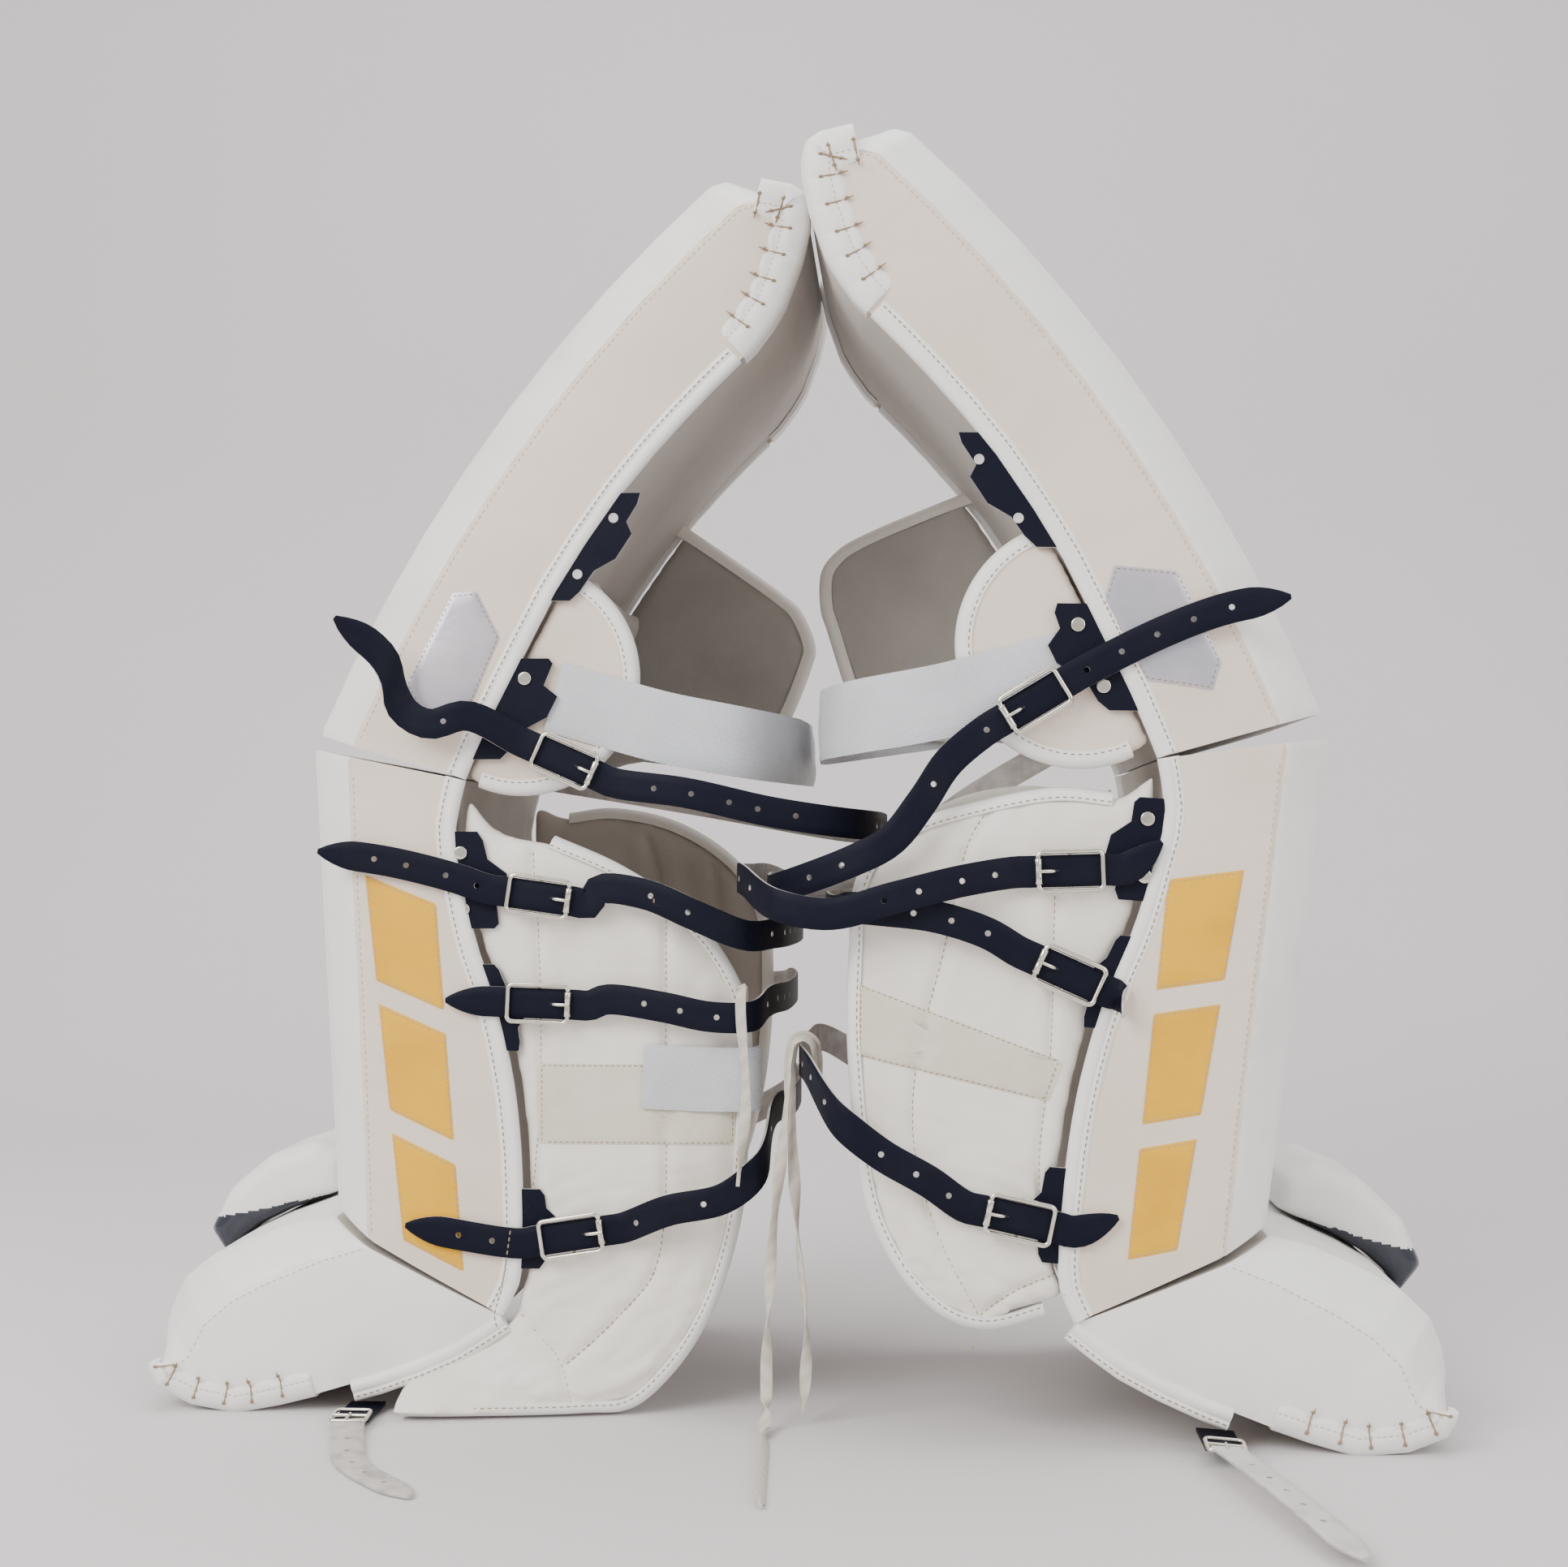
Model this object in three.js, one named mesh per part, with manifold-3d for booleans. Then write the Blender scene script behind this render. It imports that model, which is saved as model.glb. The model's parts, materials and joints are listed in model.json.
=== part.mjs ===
// A pair of ice hockey goalie leg pads, stood on their boots and leaning together at the top.
// Units are millimetres and +Z is up. +X runs from the left pad to the right pad, and +Y from the
// buckled outer sides of the pads to their inner sides. Each pad is modelled in a frame whose origin
// is its ankle pivot: X points back to the leg, Z up the shin, and Y = 0 is the pad's outer side.
// The right pad is built in the same frame and mirrored.
import * as THREE from 'three';
import { mergeVertices } from 'three/addons/utils/BufferGeometryUtils.js';
import Module from 'manifold-3d';

const wasm = await Module();
wasm.setup();

// ---------------------------------------------------------------- driving dimensions
const padWidth = 279;            // outer side to inner side
const bevelAcross = 30;          // slope between a side wall and the flat front, across the pad
const bevelDeep = 31;            // the same slope, front to back
const coverWall = 3;             // cover and its liner foam
const clearance = 0.4;           // between pieces that touch
const shinLength = 296;          // along the front, ankle notch to knee notch
const shinDepth = 125;           // front to back at the calf
const shinLean = 3.4;            // degrees that the front of the shin leans forward
const kneeDepth = 105;           // front to back at the knee break
const kneeNotch = 5.5;           // degrees of the wedge that is open in front of the knee break
const kneeBreakTilt = 11.5;      // degrees that the top of the shin rises to the front
const thighLength = 440;         // along the front, knee notch to top
const thighDepth = 100;
const thighStart = 23;           // degrees from upright where the thigh rise starts
const thighTurn = 25;            // degrees that it curves back over its length
const ankleDepth = 127;          // along the ankle break, notch to heel
const ankleTilt = 28.8;          // degrees that the foot of the shin rises to the front
const ankleNotch = 2.8;
const bootLength = 136.5;        // ankle notch to toe
const bootDepth = 102.7;
const bootPitch = 23;            // degrees that the boot drops to the toe
const guardHeight = 42;          // raised guard on the inner half of the boot
const strapWidth = 19;
const strapThick = 2.2;
const tabThick = 2.6;
const buckleLong = 41;
const buckleWire = 3;
const tongueThick = 1.8;
const wingThick = 14;            // calf wings
const kneeWingThick = 10;
const kneeWingRadius = 74;
const cradleThick = 22;
const bandWidth = 45;            // elastic knee band
const calfBandWidth = 40;
const bandThick = 1.6;
const laceAcross = 4;
const stagger = 60;              // how much further back the left pad stands
const topGap = 0.8;              // between the two pads where they lean together
const floorGap = 0.5;            // under soft pieces that hang to the floor

// Layers outwards from the outer side of the pad, in Y.
const wingFace = 4.5;
const bandCentre = wingFace - clearance - bandThick / 2;
const tabBack = bandCentre - bandThick / 2 - clearance;
const tabFace = tabBack - tabThick;
const barFront = tabFace - clearance - buckleWire;
const strapCentre = barFront - clearance - strapThick / 2;
const ringBack = strapCentre - strapThick / 2 - clearance;

// Right and left differ a little in how they stand and how their straps are fastened.
const stances = {
  left: { lean: 0, kneeBend: 0, side: 1, back: stagger },
  right: { lean: 4.3, kneeBend: 3.2, side: -1, back: 0 },
};

const rad = THREE.MathUtils.degToRad;
const at = (x, z) => new THREE.Vector2(x, z);
const along = (degrees) => at(Math.sin(rad(degrees)), Math.cos(rad(degrees)));
const backFrom = (degrees) => at(Math.cos(rad(degrees)), -Math.sin(rad(degrees)));

// ---------------------------------------------------------------- materials
const finish = (color, roughness, metalness = 0) => (
  new THREE.MeshStandardMaterial({ color, roughness, metalness })
);
const whiteSkin = finish(0xf2f1ec, 0.45);
const creamNylon = finish(0xe9e1d4, 0.8);
const foam = finish(0xd9d6cc, 0.95);
const quilt = finish(0xe8e4d9, 0.8);
const greyLiner = finish(0x9a958f, 0.85);
const navyLeather = finish(0x161a28, 0.5);
const paleLeather = finish(0xd5d0c6, 0.75);
const elastic = finish(0xdfe1e6, 0.7);
const nickel = finish(0xc9c6bd, 0.25, 1);
const laceWeave = finish(0xcfc8b8, 0.85);

// ---------------------------------------------------------------- solids
function solidOf(geometry) {
  const bare = new THREE.BufferGeometry();
  const flat = geometry.index ? geometry.toNonIndexed() : geometry;
  bare.setAttribute('position', flat.getAttribute('position').clone());
  const merged = mergeVertices(bare, 1e-3);
  const mesh = new wasm.Mesh({
    numProp: 3,
    vertProperties: new Float32Array(merged.attributes.position.array),
    triVerts: new Uint32Array(merged.index.array),
  });
  return new wasm.Manifold(mesh);
}

function geometryOf(solid) {
  const mesh = solid.getMesh();
  const geometry = new THREE.BufferGeometry();
  geometry.setAttribute('position', new THREE.BufferAttribute(mesh.vertProperties, 3));
  geometry.setIndex(new THREE.BufferAttribute(mesh.triVerts, 1));
  const flat = geometry.toNonIndexed();
  flat.computeVertexNormals();
  return flat;
}

// An outline in X and Z, carried across the pad from y0 to y1.
function across(points, y0, y1, options = {}) {
  const shape = points instanceof THREE.Shape ? points : new THREE.Shape(points);
  const bevel = options.bevelThickness ?? 0;
  const geometry = new THREE.ExtrudeGeometry(shape, {
    depth: y1 - y0 - 2 * bevel, bevelEnabled: bevel > 0, bevelSegments: 1, curveSegments: 8, ...options,
  });
  return geometry.rotateX(Math.PI / 2).translate(0, y1 - bevel, 0);
}

// Moves each edge of an outline inwards.
function inset(points, by) {
  const turning = THREE.ShapeUtils.area(points) > 0 ? 1 : -1;
  return points.map((point, i) => {
    const before = points[(i + points.length - 1) % points.length];
    const after = points[(i + 1) % points.length];
    const a = point.clone().sub(before).normalize();
    const b = after.clone().sub(point).normalize();
    const edge = at(-a.y, a.x);
    const corner = at(-(a.y + b.y), a.x + b.x).normalize();
    const reach = by / Math.max(0.35, corner.dot(edge));
    return point.clone().addScaledVector(corner, turning * reach);
  });
}

// A block from one side of the pad to the other, with its long front edges sloped.
function slopedBlock(front, rest, y0, y1, slopeAcross, slopeDeep) {
  const first = front[0];
  const last = front[front.length - 1];
  const startWay = first.clone().sub(front[1]).setLength(2 * padWidth);
  const endWay = last.clone().sub(front[front.length - 2]).setLength(2 * padWidth);
  const behind = at(4 * padWidth, 0);
  const start = first.clone().add(startWay);
  const end = last.clone().add(endWay);
  const between = front.slice(1, -1);
  const wide = [start, ...between, end, end.clone().add(behind), start.clone().add(behind)];
  const slopes = across(wide, y0, y1, {
    bevelThickness: slopeAcross, bevelSize: slopeDeep, bevelOffset: -slopeDeep,
  });
  return solidOf(across([...front, ...rest], y0, y1)).intersect(solidOf(slopes));
}

// A segment of the pad: a cover that is open at its breaks, and the foam core inside it. Each break
// is a pair of neighbouring places in the outline, and the walls beside it are carried on through it.
function segment(front, rest, breaks) {
  const outline = [...front, ...rest];
  const inner = (by, reach) => {
    const points = inset(outline, by);
    const count = points.length;
    breaks.forEach(([i, j]) => {
      const beforeBreak = points[(i + count - 1) % count].clone();
      const afterBreak = points[(j + 1) % count].clone();
      points[i].add(points[i].clone().sub(beforeBreak).setLength(reach));
      points[j].add(points[j].clone().sub(afterBreak).setLength(reach));
    });
    const cut = points.splice(0, front.length);
    return slopedBlock(cut, points, by, padWidth - by, bevelAcross - by / 2, bevelDeep - by / 2);
  };
  const whole = slopedBlock(front, rest, 0, padWidth, bevelAcross, bevelDeep);
  return {
    whole,
    cover: whole.subtract(inner(coverWall, 0)).subtract(inner(coverWall, 4 * coverWall)),
    core: inner(coverWall + clearance, 0),
  };
}

// ---------------------------------------------------------------- pad profiles
const shinWay = along(-shinLean);
const shinBack = backFrom(-shinLean);
const ankleFront = backFrom(ankleTilt).multiplyScalar(-ankleDepth);
const shinTop = ankleFront.clone().addScaledVector(shinWay, shinLength);
const kneePivot = shinTop.clone().addScaledVector(backFrom(kneeBreakTilt), kneeDepth);

function shinPoint(share, depth) {
  return ankleFront.clone().addScaledVector(shinWay, share * shinLength).addScaledVector(shinBack, depth);
}

const shinRearShares = [
  [0.8, 0.745], [0.68, 0.775], [0.56, 0.822], [0.42, 0.914], [0.3, 0.962], [0.203, 0.985],
  [0.084, 0.992], [-0.065, 0.98], [-0.16, 0.95],
];
const heelPoint = at(0, clearance);
const shinRear = new THREE.SplineCurve([
  kneePivot,
  ...shinRearShares.map(([share, depth]) => shinPoint(share, depth * shinDepth)),
  heelPoint,
]);

// The point of the pad's rear edge at a height, moved back by a distance.
function rearEdge(curve, height, out = 0) {
  const points = curve.getPoints(120);
  const off = (p) => Math.abs(p.y - height);
  const nearest = points.reduce((best, p) => (off(p) < off(best) ? p : best));
  return nearest.clone().add(at(out, 0));
}

const thighFoot = kneePivot.clone().addScaledVector(backFrom(kneeBreakTilt + kneeNotch), 1 - kneeDepth);
const thighRadius = thighLength / rad(thighTurn);
function thighPoint(share, depth = 0, over = 0) {
  const lean = thighStart + thighTurn * share;
  const start = backFrom(thighStart);
  const back = backFrom(lean);
  return thighFoot.clone().add(start.sub(back).multiplyScalar(thighRadius))
    .addScaledVector(back, depth).addScaledVector(along(lean), over);
}

// The rounded top of the thigh rise: shares of its depth, back from the front and up.
const thighTopShares = [
  [0.05, 0.1], [0.24, 0.2], [0.44, 0.34], [0.53, 0.36], [0.62, 0.31], [0.7, 0.235], [0.82, 0.06],
];
const thighRearShares = [
  [0.948, 0.957], [0.878, 1.02], [0.796, 1.01], [0.69, 0.993], [0.55, 0.973], [0.38, 0.982],
  [0.26, 1.01], [0.12, 1.02],
];
const kneeEdge = kneePivot.clone().add(at(0, 2 * clearance));
const thighRear = new THREE.SplineCurve([
  ...thighRearShares.map(([share, depth]) => thighPoint(share, depth * thighDepth)),
  kneeEdge,
]);

const bootForward = at(-Math.cos(rad(bootPitch)), -Math.sin(rad(bootPitch)));
const bootDown = at(Math.sin(rad(bootPitch)), -Math.cos(rad(bootPitch)));
const bootStart = backFrom(ankleTilt - ankleNotch).multiplyScalar(-ankleDepth);
function bootPoint(forward, down) {
  return bootStart.clone().addScaledVector(bootForward, forward * bootLength)
    .addScaledVector(bootDown, down * bootDepth);
}

const bootFrontShares = [
  [0, 0], [0.194, -0.06], [0.45, -0.08], [0.624, -0.07], [0.773, -0.009], [0.879, 0.119],
  [0.938, 0.223], [1, 0.409],
];
const bootSoleShares = [
  [0.995, 0.52], [0.88, 0.697], [0.7, 0.85], [0.5, 0.905], [0.325, 0.941], [0.036, 0.985],
  [-0.161, 1], [-0.339, 0.998], [-0.472, 0.972],
];
const bootFront = bootFrontShares.map(([forward, down]) => bootPoint(forward, down));
const bootSole = bootSoleShares.map(([forward, down]) => bootPoint(forward, down));
const floorLevel = Math.min(...bootSole.map((p) => p.y));

// ---------------------------------------------------------------- plates and cradles
// A padded plate between a front edge and a rear edge, each a list of points from top to bottom.
// It stands from y0 to y1, and bow(share down, share back) moves it outwards.
function leaf(frontEdge, rearEdgePoints, y0, y1, bow = () => 0) {
  const front = new THREE.CatmullRomCurve3(frontEdge.map((p) => new THREE.Vector3(p.x, 0, p.y)));
  const rear = new THREE.CatmullRomCurve3(rearEdgePoints.map((p) => new THREE.Vector3(p.x, 0, p.y)));
  const geometry = new THREE.BoxGeometry(1, 1, 1, 7, 1, 16);
  const position = geometry.getAttribute('position');
  for (let i = 0; i < position.count; i += 1) {
    const back = position.getX(i) + 0.5;
    const down = 0.5 - position.getZ(i);
    const a = front.getPointAt(down);
    const b = rear.getPointAt(down);
    const p = a.lerp(b, back);
    const y = y0 + (position.getY(i) + 0.5) * (y1 - y0) - bow(down, back);
    position.setXYZ(i, p.x, y, p.z);
  }
  return geometry;
}

// A shape less the blocks that it must clear, as one body.
function cleared(geometry, blocks) {
  const solid = blocks.reduce((left, block) => left.subtract(block), solidOf(geometry));
  return geometryOf(solid.decompose().sort((a, b) => b.volume() - a.volume())[0]);
}

function roundCorners(points, radius, steps = 5) {
  return points.flatMap((p, i) => {
    const before = points[(i + points.length - 1) % points.length];
    const after = points[(i + 1) % points.length];
    const a = before.clone().sub(p);
    const b = after.clone().sub(p);
    a.setLength(Math.min(radius, 0.45 * a.length())).add(p);
    b.setLength(Math.min(radius, 0.45 * b.length())).add(p);
    return new THREE.QuadraticBezierCurve(a, p, b).getPoints(steps);
  });
}

function disc(centre, radius, steps = 28) {
  return Array.from({ length: steps }, (_, i) => {
    const turn = (2 * Math.PI * i) / steps;
    return centre.clone().add(at(Math.cos(turn), Math.sin(turn)).multiplyScalar(radius));
  });
}

// ---------------------------------------------------------------- straps
class StrapLine extends THREE.CatmullRomCurve3 {
  constructor(points, ups) {
    super(points, false, 'centripetal');
    this.ups = ups;
  }

  upAt(share) {
    const place = share * (this.ups.length - 1);
    const i = Math.min(this.ups.length - 2, Math.floor(place));
    return this.ups[i].clone().lerp(this.ups[i + 1], place - i);
  }

  computeFrenetFrames(steps) {
    const frames = { tangents: [], normals: [], binormals: [] };
    for (let i = 0; i <= steps; i += 1) {
      const tangent = this.getTangentAt(i / steps);
      const up = this.upAt(i / steps);
      const binormal = up.addScaledVector(tangent, -up.dot(tangent)).normalize();
      frames.tangents.push(tangent);
      frames.binormals.push(binormal);
      frames.normals.push(binormal.clone().cross(tangent));
    }
    return frames;
  }
}

const upright = new THREE.Vector3(0, 0, 1);
const v3 = (p) => new THREE.Vector3(...p);

function ribbon(points, wide, thick, steps = 26, ups = [upright, upright]) {
  const section = new THREE.Shape([
    at(-thick / 2, -wide / 2), at(thick / 2, -wide / 2), at(thick / 2, wide / 2), at(-thick / 2, wide / 2),
  ]);
  const line = new StrapLine(points.map(v3), ups);
  return new THREE.ExtrudeGeometry(section, { steps, bevelEnabled: false, extrudePath: line });
}

// A roller buckle at a point of the outer side, turned by a slope in degrees: a ring in front of the
// strap, a centre bar behind it, and a tongue from the bar through the strap to the ring.
const windowTall = strapWidth + 2 * clearance + 0.4;
const buckleTall = windowTall + 2 * buckleWire;
const tonguePlace = -buckleLong / 4;
function buckle(x, z, slope) {
  const ring = new THREE.Shape(roundCorners([
    at(-buckleLong / 2, -buckleTall / 2), at(buckleLong / 2, -buckleTall / 2),
    at(buckleLong / 2, buckleTall / 2), at(-buckleLong / 2, buckleTall / 2),
  ], 5, 3));
  const windowLong = buckleLong - 2 * buckleWire;
  ring.holes.push(new THREE.Path([
    at(-windowLong / 2, -windowTall / 2), at(-windowLong / 2, windowTall / 2),
    at(windowLong / 2, windowTall / 2), at(windowLong / 2, -windowTall / 2),
  ]));
  const deep = barFront + buckleWire - ringBack;
  const box = (w, h, d, px, py, pz) => solidOf(new THREE.BoxGeometry(w, d, h).translate(px, py, pz));
  const postY = ringBack + deep / 2 - 0.1;
  const postZ = (windowTall + buckleWire) / 2;
  const bar = box(buckleWire, buckleTall, buckleWire, 0, barFront + buckleWire / 2, 0);
  const posts = [-1, 1].map((s) => box(buckleWire, buckleWire, deep + 0.2, 0, postY, s * postZ));
  const stem = box(3, 3, deep + 1, tonguePlace, ringBack + (deep - 1) / 2, 0);
  const heel = box(-tonguePlace, 3, 2, tonguePlace / 2, barFront + buckleWire / 2, 0);
  const reach = buckleLong / 2 + tonguePlace;
  const tongue = box(reach, 3, tongueThick, tonguePlace - reach / 2 + 1.5, ringBack - 1 + 0.4, 0);
  const body = [bar, ...posts, stem, heel, tongue].reduce(
    (sum, part) => sum.add(part),
    solidOf(across(ring, ringBack - buckleWire, ringBack)),
  );
  return body.rotate([0, slope, 0]).translate([x, 0, z]);
}

// The strap's hole for the tongue of its buckle.
function tongueHole(x, z, slope) {
  const hole = new THREE.BoxGeometry(5, 4 * strapThick, 5).translate(tonguePlace, strapCentre, 0);
  return solidOf(hole).rotate([0, slope, 0]).translate([x, 0, z]);
}

// ---------------------------------------------------------------- one pad
// Heights are in shares of the shin length and reaches in shares of the shin depth, or both in
// shares of the thigh length from the knee pivot.
const onShin = (x, z) => at(x * shinDepth, z * shinLength);
const onKnee = (x, z) => kneePivot.clone().add(at(x, z).multiplyScalar(thighLength));

const outerWingRear = {
  left: [
    [-0.03, 1.03], [0.247, 1.011], [0.571, 0.951], [0.855, 0.874], [1.058, 0.789], [1.2, 0.685],
    [1.241, 0.6], [1.241, 0.48], [1.22, 0.326], [1.2, 0.223], [1.12, 0.086], [1.02, -0.017],
    [0.855, -0.12], [0.65, -0.195],
  ],
  right: [
    [-0.03, 1.06], [0.261, 1.059], [0.642, 1.018], [0.945, 0.967], [1.11, 0.912], [1.193, 0.827],
    [1.191, 0.713], [1.174, 0.549], [1.122, 0.386], [1.046, 0.224], [0.951, 0.129], [0.779, 0.035],
    [0.575, -0.02], [0.456, -0.028],
  ],
};
const innerWingRear = [
  [-0.03, 1.08], [0.26, 1.09], [0.62, 1.06], [0.92, 0.99], [1.1, 0.91], [1.2, 0.8], [1.22, 0.68],
  [1.2, 0.5], [1.15, 0.36], [1.06, 0.22], [0.95, 0.12], [0.78, 0.03], [0.6, -0.02], [0.46, -0.03],
];
const innerKneeWing = {
  left: [
    [-0.03, 0.34], [0.17, 0.51], [0.455, 0.314], [0.479, 0.246], [0.42, 0.094], [0.11, 0.03],
    [-0.05, 0.05],
  ],
  right: [
    [0, 0.34], [0.206, 0.477], [0.454, 0.372], [0.487, 0.332], [0.487, 0.264], [0.416, 0.077],
    [0.11, 0.03], [-0.05, 0.05],
  ],
};
const outerKneeDisc = { left: [0.083, 0.148], right: [0.108, 0.156] };

// Tabs of the outer side: height share, reach and half height in mm, all on the shin but the first two.
const tabs = {
  left: { calf: [0.918, 30, 31], shin: [0.65, 16, 28], ankle: [0.184, 24, 26] },
  right: { calf: [0.954, 30, 31], shin: [0.686, 14, 28], ankle: [0.209, 20, 28] },
};
// The knee pair of tabs: centre in shares of the thigh length from the knee pivot.
const kneeTabs = {
  left: { thigh: [0.1905, 0.336], knee: [0.07, 0.104] },
  right: { thigh: [0.222, 0.364], knee: [0.095, 0.139] },
};

// Straps: [x, z, out] points of the outer run from the free tip to the turn, where out is how far the
// strap stands off its buckle's layer, and the turn's own y shares of the pad's width.
const straps = {
  left: {
    knee: {
      tip: [[-0.165, 0.226, 34], [-0.101, 0.171, 22], [-0.078, 0.1, 14], [-0.04, 0.078, 14], [0.014, 0.09, 12], [0.08, 0.066, 6]],
      buckle: [0.15, 0.026, 24],
      run: [[0.2, 0.009, 3], [0.326, -0.02, 8], [0.441, -0.046, 6], [0.53, -0.06, 0]],
      turn: [0.6, -0.065],
      thigh: true,
    },
    calf: {
      tip: [[-0.929, 0.982, 4], [-0.557, 0.959, 2], [-0.234, 0.925, 0.5]],
      buckle: [0.19, 0.886, 8],
      run: [[0.494, 0.9, 2], [0.738, 0.891, 8], [0.98, 0.849, 12], [1.222, 0.806, 6]],
      turn: [1.43, 0.806],
    },
    shin: {
      tip: [[-0.28, 0.666, 0.5]],
      buckle: [0.19, 0.66, 2],
      run: [[0.535, 0.669, 2], [0.818, 0.655, 6], [1.061, 0.635, 8], [1.263, 0.635, 4]],
      turn: [1.4, 0.66],
    },
    ankle: {
      tip: [[-0.476, 0.191, 1]],
      buckle: [0.36, 0.172, -9],
      run: [[0.576, 0.205, 8], [0.858, 0.234, 14], [1.142, 0.262, 14], [1.304, 0.32, 8]],
      turn: [1.42, 0.42],
    },
  },
  right: {
    knee: {
      tip: [[-0.167, 0.218, 8], [-0.084, 0.202, 5], [0.0, 0.17, 1]],
      buckle: [0.17, 0.075, 32],
      run: [[0.285, -0.01, 4], [0.32, -0.065, 8], [0.36, -0.117, 8], [0.41, -0.145, 6]],
      turn: [0.535, -0.186],
      thigh: true,
    },
    calf: {
      tip: [[-0.238, 0.968, 1]],
      buckle: [0.18, 0.897, 6],
      run: [[0.426, 0.885, 2], [0.693, 0.86, 12], [0.996, 0.818, 17], [1.298, 0.775, 14], [1.56, 0.785, 8]],
      turn: [1.8, 0.826],
      far: 8,
    },
    shin: {
      tip: [[-0.1, 0.62, 16], [0.0, 0.64, 6]],
      buckle: [0.15, 0.69, -20],
      run: [[0.35, 0.73, 1], [0.55, 0.76, 3], [0.8, 0.785, 5], [1.05, 0.79, 5], [1.2, 0.79, 2]],
      turn: [1.34, 0.78],
    },
    ankle: {
      tip: [[-0.158, 0.219, 1]],
      buckle: [0.3, 0.198, -8],
      run: [[0.502, 0.219, 4], [0.742, 0.261, 8], [0.983, 0.31, 10], [1.187, 0.37, 8]],
      turn: [1.42, 0.45],
    },
  },
};

function smooth(t) {
  const x = THREE.MathUtils.clamp(t, 0, 1);
  return x * x * (3 - 2 * x);
}

// The rear edge line that a tab or wing lies against, for the shin or the thigh.
const shinEdge = (z, out = 0) => rearEdge(shinRear, z, out);
const thighEdge = (z, out = 0) => rearEdge(thighRear, z, out);

// A tab with its straight side along a rear edge: waisted, with a wide middle for its buckle.
function tabOutline(edge, z, reach, half) {
  const rows = [-1, -0.82, -0.45, -0.2, 0.2, 0.45, 0.82, 1];
  const widths = [0.5, 0.62, 0.66, 1, 1, 0.66, 0.62, 0.5];
  const front = rows.map((row) => edge(z + row * half, 2 * clearance));
  const rear = rows.map((row, i) => edge(z + row * half, widths[i] * reach + 2 * clearance));
  return [...front, ...rear.reverse()];
}

function strapPath(name, strap) {
  const spot = strap.thigh ? onKnee : onShin;
  const place = ([x, z, out = 0]) => {
    const p = spot(x, z);
    return [p.x, strapCentre - out, p.y];
  };
  const centre = spot(strap.buckle[0], strap.buckle[1]);
  const slope = strap.buckle[2];
  const strapWay = at(Math.cos(rad(slope)), -Math.sin(rad(slope))).multiplyScalar(buckleLong);
  const through = [-0.8, -0.55, 0, 0.55, 0.8].map((step) => {
    const p = centre.clone().addScaledVector(strapWay, step);
    return [p.x, strapCentre, p.y];
  });
  const turn = spot(strap.turn[0], strap.turn[1]);
  const lastRun = spot(...strap.run[strap.run.length - 1]);
  const edge = strap.thigh ? thighEdge(centre.y, 6) : shinEdge(centre.y, 6);
  const farY = padWidth - strapCentre;
  return {
    centre,
    slope,
    points: [
      ...strap.tip.map(place),
      ...through,
      ...strap.run.map(place),
      [turn.x - 8, 20, turn.y],
      [turn.x, padWidth * 0.3, turn.y],
      [turn.x, padWidth * 0.7, turn.y],
      [turn.x - 8, padWidth - 20, turn.y],
      [lastRun.x, farY + (strap.far ?? 0), (lastRun.y + turn.y) / 2],
      [(lastRun.x + edge.x) / 2, farY + 4 + (strap.far ?? 0), (lastRun.y + edge.y) / 2],
      [edge.x + 40, padWidth - tabFace, edge.y],
      [edge.x, padWidth - tabFace, edge.y],
    ],
  };
}

function mesh(name, geometry, material) {
  const made = new THREE.Mesh(geometry, material);
  made.name = name;
  return made;
}

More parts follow.
